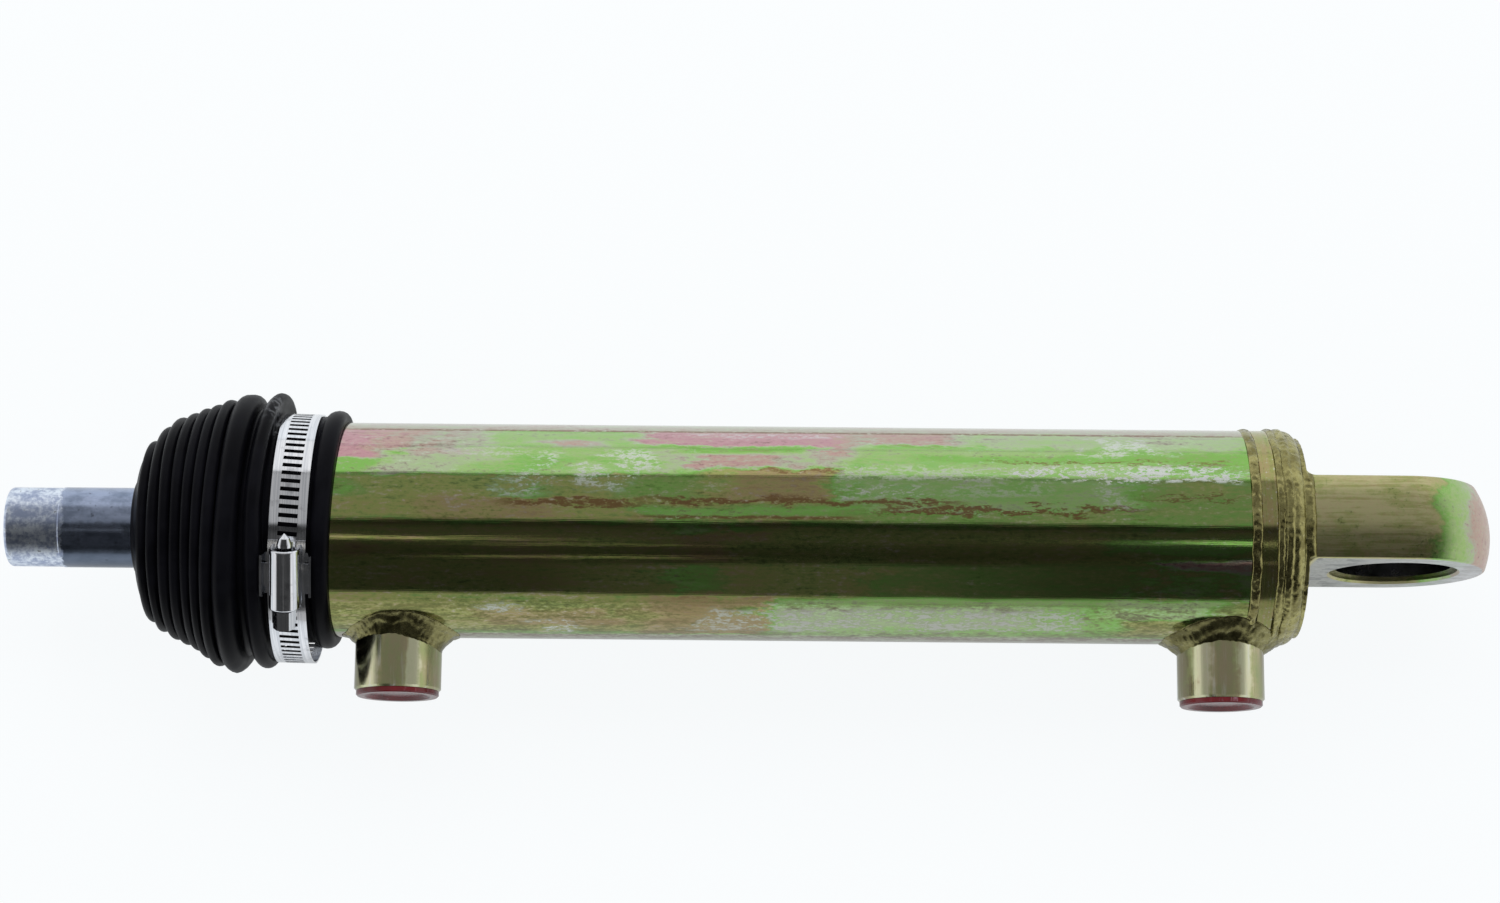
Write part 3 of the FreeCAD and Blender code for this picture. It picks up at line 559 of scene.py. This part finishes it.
def clamp_steel():
    """Bright stainless strip with lines across it and dull stains."""
    material, g = new_graph("clamp_steel_bright")
    point = g.point()
    lines = g.noise(g.scaled(point, (1800.0, 30.0, 30.0)), 1.0, 3.0)
    colour = g.mix(g.step(lines, 0.35, 0.65), *STAINLESS)
    stain = g.step(g.noise(point, 180.0, 4.0, 0.6), 0.56, 0.72, 0.0, 0.55)
    colour = g.mix(stain, colour, STAINLESS_STAIN)
    rough = g.step(g.noise(point, 240.0, 3.0), 0.3, 0.7, 0.07, 0.14)
    g.metal(colour, rough, g.bump(lines, 0.12, 0.0001))
    return material


def red_plastic():
    """Glossy red plastic with pale scuffs."""
    material, g = new_graph("red_plastic_moulded")
    point = g.point()
    cloud = g.noise(point, 120.0, 4.0, 0.6)
    colour = g.mix(g.step(cloud, 0.35, 0.65), *RED_PLASTIC)
    scuffs = g.noise(g.scaled(point, (260.0, 60.0, 900.0)), 1.0, 5.0, 0.7)
    colour = g.mix(g.step(scuffs, 0.56, 0.72, 0.0, 0.4), colour, SCUFFED_RED)
    rough = g.step(cloud, 0.3, 0.7, 0.14, 0.24)
    g.principled(Base_Color=colour, Roughness=rough, Normal=g.bump(scuffs, 0.1, 0.0002))
    return material


def turned_metal(name, dark, light, roughness):
    """Oiled metal with fine turning rings."""
    material, g = new_graph(name)
    point = g.point()
    rings = g.noise(g.scaled(point, (1600.0, 8.0, 8.0)), 1.0, 3.0)
    cloud = g.noise(point, 90.0, 4.0, 0.6)
    colour = g.mix(g.step(cloud, 0.35, 0.65), dark, light)
    rough = g.step(cloud, 0.3, 0.7, roughness * 0.8, roughness * 1.25)
    g.metal(colour, rough, g.bump(rings, 0.3, 0.0002))
    return material


def moulded(name, dark, light, roughness):
    """Moulded seal or bearing plastic with a faint mottle."""
    material, g = new_graph(name)
    point = g.point()
    cloud = g.noise(point, 140.0, 4.0, 0.6)
    colour = g.mix(g.step(cloud, 0.35, 0.65), dark, light)
    grain = g.noise(point, 1500.0, 3.0)
    rough = g.step(cloud, 0.3, 0.7, roughness * 0.85, roughness * 1.15)
    g.principled(Base_Color=colour, Roughness=rough, Normal=g.bump(grain, 0.15, 0.0001))
    return material


def paint(material, *names):
    for name in names:
        mesh = nodes[name].data
        mesh.materials.clear()
        mesh.materials.append(material)


def ring_mesh(name, rows):
    """Closed mesh of rows: rows[k] is the k-th loop of points, the last row meets the first."""
    count = len(rows[0])
    verts = [point for row in rows for point in row]
    faces = []
    for k in range(len(rows)):
        here = k * count
        there = (k + 1) % len(rows) * count
        for i in range(count):
            j = (i + 1) % count
            faces.append((here + i, here + j, there + j, there + i))
    mesh = bpy.data.meshes.new(name)
    mesh.from_pydata(verts, [], faces)
    mesh.validate()
    mesh.shade_smooth()
    piece = bpy.data.objects.new(name, mesh)
    bpy.context.scene.collection.objects.link(piece)
    return piece


def turn_of(index, count):
    """Angle of one of count steps round a circle."""
    return 2 * math.pi * index / count


def smooth(value, low, high):
    """Smooth step from 0 at low to 1 at high."""
    t = min(max((value - low) / (high - low), 0.0), 1.0)
    return t * t * (3 - 2 * t)


# Boot: crest of each fold as place along the axis, radius, half width and sag
BOOT_FOLDS_MM = (
    (-432.3, 31.7, 1.95, 1.4),
    (-428.0, 36.0, 2.05, 0.5),
    (-423.6, 38.9, 2.05, 0.0),
    (-419.4, 40.5, 1.95, 0.2),
    (-415.4, 42.4, 1.75, 0.5),
    (-411.6, 44.4, 1.75, 0.9),
    (-407.5, 46.5, 2.0, 1.4),
    (-401.1, 48.6, 4.1, 1.8),
    (-392.3, 48.0, 2.7, 0.45),
)
BOOT_WALL_MM = 1.1
BOOT_FOLD_DEPTH_MM = 9.5
BOOT_LAST_DEPTH_MM = 6.0
BOOT_NECK_X_MM = -438.5
BOOT_NECK_END_MM = -430.5
BOOT_NECK_R_MM = 17.2
BOOT_NECK_BORE_MM = 14.05
BOOT_NECK_REACH_MM = 9.0
BOOT_CUFF_R_MM = 39.5
BOOT_CUFF_BORE_MM = 37.55
BOOT_LIP_MM = (-373.4, -366.9, 41.6)
BOOT_FIXED_X_MM = -388.1
BOOT_FREE_X_MM = -384.0
BOOT_ROUND = 120

# The boot's irregularities: where they are full, their sizes, and the lean of folds and cuff
BOOT_UNEVEN_MM = (-428.0, -390.0)
BOOT_WAVE_MM = 0.45
BOOT_TWIST_MM = 0.5
BOOT_LEAN = 0.04
BOOT_CUFF_LEAN = 0.02
BOOT_CUFF_START_MM = -388.0
BOOT_TIP_LEAN_MM = 2.0


def arc_stations(centre, outer_r, inner_r, start_deg, end_deg, count):
    """Pairs of outer and inner points on two arcs about one centre."""
    stations = []
    for k in range(count):
        a = math.radians(start_deg + (end_deg - start_deg) * k / (count - 1))
        unit = (math.cos(a), math.sin(a))
        outer = (centre[0] + outer_r * unit[0], centre[1] + outer_r * unit[1])
        inner = (centre[0] + inner_r * unit[0], centre[1] + inner_r * unit[1])
        stations.append((outer, inner))
    return stations


def side_stations(outer_x, inner_x, r_start, r_end, count):
    """Pairs down or up one side of a fold, without its two ends."""
    radii = [r_start + (r_end - r_start) * k / (count + 1) for k in range(1, count + 1)]
    return [((outer_x, r), (inner_x, r)) for r in radii]


def boot_stations():
    """The folded wall from the first crest's outer side to the last crest's cuff side."""
    stations = []
    wall = BOOT_WALL_MM
    for index, (x, crest_r, half, _) in enumerate(BOOT_FOLDS_MM):
        centre = (x, crest_r - half)
        stations += arc_stations(centre, half, half - wall, 180, 0, 11)
        if index == len(BOOT_FOLDS_MM) - 1:
            break
        next_x, next_r, next_half, _ = BOOT_FOLDS_MM[index + 1]
        gap_half = (next_x - next_half - x - half) / 2
        depth = BOOT_LAST_DEPTH_MM if index == len(BOOT_FOLDS_MM) - 2 else BOOT_FOLD_DEPTH_MM
        root = (x + half + gap_half, (crest_r + next_r) / 2 - depth + gap_half)
        down = (x + half, x + half - wall)
        up = (next_x - next_half, next_x - next_half + wall)
        stations += side_stations(*down, centre[1], root[1], 3)
        stations += arc_stations(root, gap_half, gap_half + wall, 180, 360, 7)
        stations += side_stations(*up, root[1], next_r - next_half, 3)
    return stations


def refined(points, step):
    """The same open line with no stretch longer than step."""
    out = [points[0]]
    for a, b in zip(points, points[1:]):
        parts = max(1, math.ceil(math.dist(a, b) / step))
        for k in range(1, parts + 1):
            out.append(tuple(a[i] + (b[i] - a[i]) * k / parts for i in (0, 1)))
    return out


def boot_neck(first_out, first_in):
    """From the first crest down to the rod, along it and back up inside."""
    neck = [
        first_out,
        (first_out[0] - 0.9, first_out[1] - 2.6),
        (first_out[0] - 1.6, first_out[1] - 4.5),
        (BOOT_NECK_X_MM + 1.4, BOOT_NECK_R_MM + 1.4),
        (BOOT_NECK_X_MM + 0.5, BOOT_NECK_R_MM + 0.4),
        (BOOT_NECK_X_MM, BOOT_NECK_R_MM - 0.6),
        (BOOT_NECK_X_MM, BOOT_NECK_BORE_MM),
        (BOOT_NECK_END_MM, BOOT_NECK_BORE_MM),
        (BOOT_NECK_END_MM, BOOT_NECK_R_MM - 1.0),
        (BOOT_NECK_X_MM + 2.6, BOOT_NECK_R_MM - 0.4),
        (first_in[0] - 1.2, first_in[1] - 5.0),
        first_in,
    ]
    return refined(neck, 1.2)[1:-1]


def boot_cuff(last_out, last_in):
    """From the last crest along the cuff, round its flared lip and back along the tube."""
    lip_start, lip_end, lip_r = BOOT_LIP_MM
    lip_centre = ((lip_start + lip_end) / 2, BOOT_CUFF_R_MM - 0.2)
    lip_half = (lip_end - lip_start) / 2
    lip = []
    for k in range(1, 9):
        a = math.pi * (1 - k / 8)
        r = lip_centre[1] + (lip_r - lip_centre[1]) * math.sin(a)
        lip.append((lip_centre[0] + lip_half * math.cos(a), r))
    cuff = [last_out, (last_out[0], BOOT_CUFF_R_MM), (lip_start, BOOT_CUFF_R_MM)] + lip
    cuff += [
        (lip_end, BOOT_CUFF_BORE_MM),
        (last_in[0] + 1.6, BOOT_CUFF_BORE_MM),
        (last_in[0], BOOT_CUFF_BORE_MM + 1.6),
        last_in,
    ]
    return refined(cuff, 1.5)[1:-1]


def boot_profile():
    """Closed profile of the boot as (x, r, share): share is 0 on the cuff and 1 on the neck."""
    stations = boot_stations()
    lengths = [0.0]
    for (a, _), (b, _) in zip(stations, stations[1:]):
        lengths.append(lengths[-1] + math.dist(a, b))
    total = lengths[-1] + BOOT_NECK_REACH_MM
    shares = [1.0 - (BOOT_NECK_REACH_MM + length) / total for length in lengths]
    outer = [(*pair[0], share) for pair, share in zip(stations, shares)]
    inner = [(*pair[1], share) for pair, share in zip(stations, shares)]
    cuff = [(x, r, 0.0) for x, r in boot_cuff(*stations[-1])]
    crest_r = stations[0][0][1]
    neck = []
    for x, r in boot_neck(*stations[0]):
        reach = smooth(r, crest_r, BOOT_NECK_R_MM + 2.0)
        neck.append((x, r, shares[0] + (1.0 - shares[0]) * reach))
    return outer + cuff + inner[::-1] + neck[::-1]


def fold_sag(x_mm, r_mm):
    """How far the boot hangs towards -Y here: nothing on the rod and on the tube."""
    knots = [(BOOT_NECK_X_MM, 0.0)] + [(x, sag) for x, _, _, sag in BOOT_FOLDS_MM]
    knots.append((BOOT_FREE_X_MM, 0.0))
    sag = 0.0
    for (x_a, sag_a), (x_b, sag_b) in zip(knots, knots[1:]):
        if x_a <= x_mm <= x_b:
            sag = sag_a + (sag_b - sag_a) * (x_mm - x_a) / (x_b - x_a)
    return sag * smooth(r_mm, BOOT_NECK_R_MM, 26.0)


def boot_point(x_mm, r_mm, turn):
    """One point of the boot with its sag, lean and small irregularities."""
    start, end = BOOT_UNEVEN_MM
    free = smooth(x_mm, BOOT_NECK_X_MM, start) * smooth(x_mm, BOOT_FREE_X_MM, end)
    wave = noise.noise(Vector((math.cos(turn) * 1.3, math.sin(turn) * 1.3, x_mm * 0.21)))
    twist = noise.noise(Vector((math.cos(turn) * 1.1 + 7.0, math.sin(turn) * 1.1, x_mm * 0.13)))
    y = math.cos(turn)
    z = math.sin(turn)
    r = r_mm + free * BOOT_WAVE_MM * wave
    lean = BOOT_LEAN * smooth(x_mm, BOOT_NECK_X_MM, -401.0)
    if x_mm > BOOT_CUFF_START_MM:
        lean = BOOT_CUFF_LEAN * (1.0 + smooth(x_mm, -379.0, -370.0))
    last_fold = smooth(x_mm, -397.5, -394.0)
    leaning = max(y, 0.0) + min(y, 0.0) * (1.0 - last_fold * smooth(x_mm, -386.0, -389.0))
    tip = last_fold * smooth(r_mm, 41.5, 48.0) * max(y, 0.0) ** 3
    x = x_mm + lean * r * leaning + free * BOOT_TWIST_MM * twist + BOOT_TIP_LEAN_MM * tip
    return (x * MM, (r * y - fold_sag(x_mm, r_mm)) * MM, r * z * MM)


def make_boot():
    """The boot, stretched between barrel and rod by each point's share of the motion."""
    profile = boot_profile()
    turns = [turn_of(i, BOOT_ROUND) for i in range(BOOT_ROUND)]
    rows = [[boot_point(x, r, turn) for turn in turns] for x, r, _ in profile]
    boot = ring_mesh("boot_folded", rows)
    boot.data.materials.append(boot_rubber())
    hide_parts("dust_boot")
    fixed, moving = (BOOT_FIXED_X_MM * MM, 0, 0), (BOOT_NECK_X_MM * MM, 0, 0)
    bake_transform(boot, "barrel", "rod", fixed, moving)
    weights = boot.data.attributes["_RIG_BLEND"].data
    for k, (_, _, share) in enumerate(profile):
        for i in range(BOOT_ROUND):
            weights[k * BOOT_ROUND + i].value = share


# Port welds: reach on the tube and height at the boss, each with its lean along the barrel, in
# millimetres, and how hollow the face is, 0 to 1
PORT_WELDS_MM = {
    "front": {"foot_r": 20.4, "foot_lean": 1.2, "leg": 5.6, "leg_lean": 1.6, "hollow": 0.75},
    "rear": {"foot_r": 21.3, "foot_lean": 0.0, "leg": 4.6, "leg_lean": -0.2, "hollow": 0.3},
}
WELD_ROUND = 240
WELD_ACROSS = 14
WELD_ROOT_MM = 2.0
WELD_INSET_MM = 1.5
PORT_RIPPLES = 30
PORT_RIPPLE_MM = 0.10
PORT_LAYER_MM = 0.22
PORT_LUMP_MM = 0.25


def ripple(along, across, count, depth_mm):
    """Uneven crescents of a hand weld: along is 0 to 1 round the bead, across 0 to 1 over it."""
    around = Vector((math.cos(turn_of(along, 1)), math.sin(turn_of(along, 1)), 0.0))
    lag = 0.6 * (2 * across - 1) ** 2
    hurry = 1.3 * noise.noise(around * 3.0 + Vector((0.0, 0.0, count * 0.7)))
    tooth = math.cos(2 * math.pi * (along * count - lag + hurry))
    patchy = noise.noise(around * 5.0 + Vector((count * 0.3, 0.0, across)))
    strength = 0.35 + 0.65 * smooth(patchy, -0.3, 0.4)
    fade = math.sin(math.pi * min(max(across, 0.02), 0.98)) ** 0.5
    return depth_mm * 0.5 * tooth * strength * fade


def saddle_point(port_x, rho, lift, turn):
    """Point at rho from a port's axis, lifted off the tube."""
    depth = math.sqrt(TUBE_R_MM ** 2 - (rho * math.sin(turn)) ** 2)
    x = port_x + rho * math.cos(turn)
    return (x * MM, -(depth + lift) * MM, rho * math.sin(turn) * MM)


def port_weld_point(port_x, shape, turn, across):
    """Point of the weld's face: across is 0 at the toe on the tube and 1 at the boss."""
    toe_wave = noise.noise(Vector((math.cos(turn) * 3, math.sin(turn) * 3, port_x)))
    foot = shape["foot_r"] + shape["foot_lean"] * math.cos(turn) + 0.9 * toe_wave
    leg = shape["leg"] + shape["leg_lean"] * math.cos(turn) + 0.5 * toe_wave
    rho = foot + (BOSS_R_MM - 0.3 - foot) * across
    hollow = shape["hollow"]
    rise = (1 - hollow) * across + hollow * (1 - math.sqrt(max(0.0, 1 - across ** 2)))
    lift = leg * rise + ripple(turn / (2 * math.pi), across, PORT_RIPPLES, PORT_RIPPLE_MM)
    drift = noise.noise(Vector((math.cos(turn) * 2.2, math.sin(turn) * 2.2, port_x + 9.0)))
    layer = across * 1.7 + 0.9 * drift
    lift += PORT_LAYER_MM * math.cos(2 * math.pi * layer) * math.sin(math.pi * across)
    spot = Vector((rho * math.cos(turn), rho * math.sin(turn), 5.0))
    lift += PORT_LUMP_MM * noise.noise(spot * 0.9)
    return saddle_point(port_x, rho, max(lift, -0.2), turn)


def make_port_weld(place, material):
    """Weld round a port's boss: its face, and a back sunk into the boss and the tube."""
    shape = PORT_WELDS_MM[place]
    port_x = PORT_X_MM[place]
    turns = [turn_of(i, WELD_ROUND) for i in range(WELD_ROUND)]
    rows = []
    for k in range(WELD_ACROSS + 1):
        across = k / WELD_ACROSS
        rows.append([port_weld_point(port_x, shape, turn, across) for turn in turns])
    inner_r = BOSS_R_MM - WELD_INSET_MM
    outer_r = shape["foot_r"] - WELD_INSET_MM
    root = WELD_ROOT_MM
    for rho, lift in ((inner_r, root), (inner_r, -root), (outer_r, -root)):
        rows.append([saddle_point(port_x, rho, lift, turn) for turn in turns])
    weld = ring_mesh(f"{place}_port_weld_beads", rows)
    weld.data.materials.append(material)
    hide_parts(f"{place}_port_weld")
    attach(weld, "barrel")


# Seam between tube and base head: from x to x, height of its crown and depth of its root
TUBE_WELD_MM = (-54.4, -50.8)
TUBE_WELD_CROWN_MM = 0.75
TUBE_WELD_ROOT_MM = -0.9
TUBE_WELD_ROWS = 10
TUBE_RIPPLES = 80
TUBE_RIPPLE_MM = 0.1
TUBE_PIT_MM = 0.55

# Welding passes behind the eye: x and radius of their edges, then the sunken back
EYE_PASSES_MM = ((-45.7, 37.5), (-42.9, 37.5), (-39.8, 37.45), (-35.6, 34.7), (-31.8, 33.4))
EYE_SHOULDER_MM = -34.3
EYE_WELD_BACK_MM = ((EYE_SHOULDER_MM, 31.0), (-40.5, 31.0), (-44.5, 35.5))
EYE_FLATS_MM = (-12.2, 17.2)
EYE_PASS_ROWS = 8
EYE_PASS_CROWN_MM = 0.75
EYE_RIPPLES = 46
EYE_RIPPLES_MORE = 3
EYE_RIPPLE_MM = 0.14
EYE_PIT_MM = 0.3
RING_ROUND = 360


def pitted(point, depth_mm):
    """Small craters, as porosity in a bead."""
    cell = noise.voronoi(Vector(point) * 0.55)[0][0]
    return -depth_mm * (1 - smooth(cell, 0.18, 0.5))


def tube_bead_row(across, crown_mm):
    """One row of the seam: its face where the crown stands proud, its back where it is sunk."""
    x_start, x_end = TUBE_WELD_MM
    row = []
    for i in range(RING_ROUND):
        turn = turn_of(i, RING_ROUND)
        wander = 0.45 * noise.noise(Vector((math.cos(turn) * 5, math.sin(turn) * 5, 1.0)))
        x = x_start + (x_end - x_start) * across + wander
        arch = crown_mm * math.sin(math.pi * across) ** 0.6
        r = TUBE_R_MM - 0.12 + arch
        y = math.cos(turn)
        z = math.sin(turn)
        if crown_mm > 0:
            pits = pitted((x, r * y, r * z), TUBE_PIT_MM) * math.sin(math.pi * across)
            r += ripple(i / RING_ROUND, across, TUBE_RIPPLES, TUBE_RIPPLE_MM) + pits
        row.append((x * MM, r * y * MM, r * z * MM))
    return row


def make_tube_weld(material):
    """Pitted seam between tube and base head."""
    shares = [k / TUBE_WELD_ROWS for k in range(TUBE_WELD_ROWS + 1)]
    rows = [tube_bead_row(across, TUBE_WELD_CROWN_MM) for across in shares]
    rows += [tube_bead_row(across, TUBE_WELD_ROOT_MM) for across in (0.9, 0.1)]
    bead = ring_mesh("tube_weld_bead", rows)
    bead.data.materials.append(material)
    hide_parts("tube_weld")
    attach(bead, "barrel")


def eye_pass_row(start, end, across, pass_index):
    """One row of a welding pass between its two edges, kept off the eye's flats."""
    out = Vector((start[1] - end[1], end[0] - start[0])).normalized()
    ripples = EYE_RIPPLES + EYE_RIPPLES_MORE * pass_index
    arch = EYE_PASS_CROWN_MM * math.sin(math.pi * across) ** 0.6 if 0 < across < 1 else 0.0
    row = []
    for i in range(RING_ROUND):
        turn = turn_of(i, RING_ROUND)
        around = Vector((math.cos(turn) * 3, math.sin(turn) * 3, pass_index * 5.0))
        wander = 0.5 * noise.noise(around)
        lift = arch + ripple(i / RING_ROUND, across, ripples, EYE_RIPPLE_MM)
        x = start[0] + (end[0] - start[0]) * across + out.x * lift + wander
        r = start[1] + (end[1] - start[1]) * across + out.y * lift
        y = r * math.cos(turn)
        r += pitted((x, y, r * math.sin(turn)), EYE_PIT_MM)
        y = r * math.cos(turn)
        if not EYE_FLATS_MM[0] < y < EYE_FLATS_MM[1]:
            x = min(x, EYE_SHOULDER_MM)
        row.append((x * MM, y * MM, r * math.sin(turn) * MM))
    return row


def make_eye_weld(material):
    """Passes side by side behind the eye, and a back sunk into head and eye."""
    passes = list(zip(EYE_PASSES_MM, EYE_PASSES_MM[1:]))
    rows = []
    for index, (start, end) in enumerate(passes):
        count = EYE_PASS_ROWS + (1 if index == len(passes) - 1 else 0)
        rows += [eye_pass_row(start, end, k / EYE_PASS_ROWS, index) for k in range(count)]
    turns = [turn_of(i, RING_ROUND) for i in range(RING_ROUND)]
    for x, r in EYE_WELD_BACK_MM:
        rows.append([(x * MM, r * math.cos(turn) * MM, r * math.sin(turn) * MM) for turn in turns])
    weld = ring_mesh("eye_weld_passes", rows)
    weld.data.materials.append(material)
    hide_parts("eye_weld")
    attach(weld, "barrel")


def dress_nodes():
    paint(barrel_zinc(), "barrel_tube")
    paint(head_zinc(), "base_head")
    paint(boss_zinc(), "front_port_boss", "rear_port_boss")
    paint(eye_zinc(), "base_eye")
    paint(turned_metal("bush_steel_rolled", *BUSH_STEEL, 0.24), "eye_bush")
    paint(red_plastic(), "front_port_plug", "rear_port_plug")
    paint(rod_chrome(), "piston_rod")
    paint(clamp_steel(), "clamp_band", "clamp_housing", "clamp_screw")
    paint(turned_metal("machined_steel_oiled", *TURNED_STEEL, 0.22),
          "piston", "piston_nut", "rod_gland", "gland_retaining_ring")
    paint(turned_metal("bronze_turned", *BRONZE, 0.3), "rod_guide_bush")
    paint(moulded("bearing_plastic_filled", *BEARING_PLASTIC, 0.5),
          "piston_wear_rings", "gland_backup_ring")
    paint(moulded("seal_plastic_blue", *SEAL_PLASTIC, 0.35),
          "piston_seal", "rod_seal", "rod_wiper")
    paint(moulded("seal_rubber_black", *SEAL_RUBBER, 0.45), "piston_o_ring", "gland_o_ring")


FLOOR_Z = -0.0525
FLOOR_HALF = 3.0
PAPER = (0.80, 0.82, 0.83)
WHITE = (0.97, 0.99, 1.0)
WHITE_SEEN = 0.93
WHITE_MIRRORED = 0.4


def seen_directly(g, camera, mirrors):
    """Share of the plain white that the camera sees, and that metal and glass see."""
    straight = g.times(g.node("LightPath").outputs["Is Camera Ray"], camera)
    return g.largest(straight, g.times(g.mirror_rays(), mirrors))


def make_floor():
    """Plain pale floor that keeps the object's shadow."""
    mesh = bpy.data.meshes.new("floor")
    corners = ((-1, -1), (1, -1), (1, 1), (-1, 1))
    points = [(FLOOR_HALF * x, FLOOR_HALF * y, FLOOR_Z) for x, y in corners]
    mesh.from_pydata(points, [], [(0, 1, 2, 3)])
    floor = bpy.data.objects.new("floor", mesh)
    bpy.context.scene.collection.objects.link(floor)
    material, g = new_graph("floor_pale")
    paper = g.node("BsdfDiffuse", {"Color": PAPER}).outputs[0]
    white = g.node("Emission", {"Color": WHITE, "Strength": 1.0}).outputs[0]
    share = seen_directly(g, WHITE_SEEN, WHITE_MIRRORED)
    mixed = g.node("MixShader", {0: share, 1: paper, 2: white}).outputs[0]
    g.node("OutputMaterial", {"Surface": mixed})
    mesh.materials.append(material)


# What polished metal sees: angle about the X axis from the -Y horizon in degrees, and brightness
SKY = (
    (-180.0, 0.97),
    (-150.0, 0.97),
    (-149.0, 0.50),
    (0.0, 0.50),
    (9.0, 0.46),
    (11.5, 0.045),
    (50.0, 0.045),
    (56.0, 0.034),
    (66.0, 0.045),
    (74.0, 0.07),
    (84.0, 0.06),
    (88.0, 0.032),
    (92.0, 0.032),
    (94.0, 0.40),
    (141.5, 0.42),
    (142.5, 0.20),
    (144.0, 0.20),
    (145.0, 0.93),
    (180.0, 0.97),
)

# Thin bright strips in the dark part: angle, half width, reach in the direction's x, strength
STRIPS = (
    (73.0, 1.5, (-0.210, -0.088), 0.75),
    (71.0, 0.8, (-0.090, -0.055), 0.25),
    (66.5, 0.7, (-0.076, -0.018), 0.30),
    (53.5, 0.8, (-0.086, -0.018), 0.34),
    (73.5, 2.0, (0.132, 0.210), 1.0),
    (53.5, 1.1, (0.152, 0.210), 0.60),
)


# Patches of the studio: from angle to angle, then their brightness
DIM_PATCH = (10.0, 47.0, 0.12)
LEFT_PATCH = (-60.0, 13.0, 0.10)
SIDE_LEVEL = 0.9
STRIP_LIGHT = (0.95, 0.92, 0.86)
ROOM_LIGHT = (0.62, 0.64, 0.66)


def grey(level):
    return (level, level, level)


def make_world():
    """Soft even light, a white ground for the camera and a studio for polished metal."""
    world = bpy.data.worlds.new("studio")
    bpy.context.scene.world = world
    world.use_nodes = True
    g = Graph(world.node_tree)
    x, y, z = g.node("SeparateXYZ", {0: g.node("TexCoord").outputs["Generated"]}).outputs
    angle = g.math("DEGREES", g.math("ARCTAN2", z, g.times(y, -1.0)))
    turn_share = g.math("DIVIDE", g.add(angle, 180.0), 360.0)
    sky = g.ramp(turn_share, [((degrees + 180.0) / 360.0, grey(level)) for degrees, level in SKY])
    start, end, level = DIM_PATCH
    dim = g.times(g.band(angle, start, end, 3.0), g.band(x, -0.04, 0.075, 0.035))
    sky = g.mix(dim, sky, grey(level))
    start, end, level = LEFT_PATCH
    left = g.times(g.band(angle, start, end, 1.0), g.step(x, -0.155, -0.175))
    sky = g.mix(left, sky, grey(level))
    side = g.step(g.math("ABSOLUTE", x), 0.72, 0.86)
    low = g.step(z, 0.62, 0.35)
    sky = g.mix(g.times(side, low), sky, grey(SIDE_LEVEL))
    glow = 0.0
    for strip_angle, half, (x_low, x_high), strength in STRIPS:
        along = g.band(x, x_low, x_high, 0.01)
        strip = g.times(g.band(angle, strip_angle - half, strip_angle + half, 0.6), along)
        glow = g.largest(glow, g.times(strip, strength))
    sky = g.mix(glow, sky, STRIP_LIGHT)
    lit = g.mix(g.mirror_rays(), ROOM_LIGHT, sky)
    seen = g.mix(g.node("LightPath").outputs["Is Camera Ray"], lit, WHITE)
    background = g.node("Background", {"Color": seen, "Strength": 1.0}).outputs[0]
    g.node("OutputWorld", {"Surface": background})


LAMP_PLACE = (-0.25, 0.75, 1.25)
LAMP_TARGET = Vector((-0.25, 0.0, 0.0))
LAMP_SIZE = (1.4, 0.8)
LAMP_WATTS = 14.0


def make_lamp():
    """Large soft lamp above and behind, which lays the shadow towards -Y."""
    light = bpy.data.lights.new("softbox", "AREA")
    light.shape = "RECTANGLE"
    light.size, light.size_y = LAMP_SIZE
    light.energy = LAMP_WATTS
    lamp = bpy.data.objects.new("softbox", light)
    lamp.location = LAMP_PLACE
    lamp.rotation_euler = (LAMP_TARGET - lamp.location).to_track_quat("-Z", "Y").to_euler()
    lamp.visible_glossy = False
    bpy.context.scene.collection.objects.link(lamp)


def make_camera():
    """Camera above the barrel, tilted about it and rolled a little, as in the photo."""
    back = Vector((0.0, -math.sin(VIEW_TILT), math.cos(VIEW_TILT)))
    up = Vector((0.0, math.cos(VIEW_TILT), math.sin(VIEW_TILT)))
    right = Vector((1.0, 0.0, 0.0))
    rolled_right = right * math.cos(CAMERA_ROLL) + up * math.sin(CAMERA_ROLL)
    rolled_up = up * math.cos(CAMERA_ROLL) - right * math.sin(CAMERA_ROLL)
    data = bpy.data.cameras.new("photo_camera")
    data.lens = CAMERA_LENS_MM
    data.sensor_width = CAMERA_SENSOR_MM
    data.clip_start = 0.05
    camera = bpy.data.objects.new("photo_camera", data)
    turned = Matrix((rolled_right, rolled_up, back)).transposed()
    camera.matrix_world = Matrix.LocRotScale(CAMERA_TARGET + back * CAMERA_DISTANCE, turned, None)
    bpy.context.scene.collection.objects.link(camera)
    bpy.context.scene.camera = camera


dress_nodes()
make_boot()
port_metal = weld_metal("weld_plate_port", *SHADED_PORT_WELD)
make_port_weld("front", port_metal)
make_port_weld("rear", port_metal)
ring_metal = weld_metal("weld_plate_ring", *RING_WELD)
make_tube_weld(ring_metal)
make_eye_weld(ring_metal)
make_floor()
make_world()
make_lamp()
make_camera()
bpy.context.scene.view_settings.view_transform = "Standard"
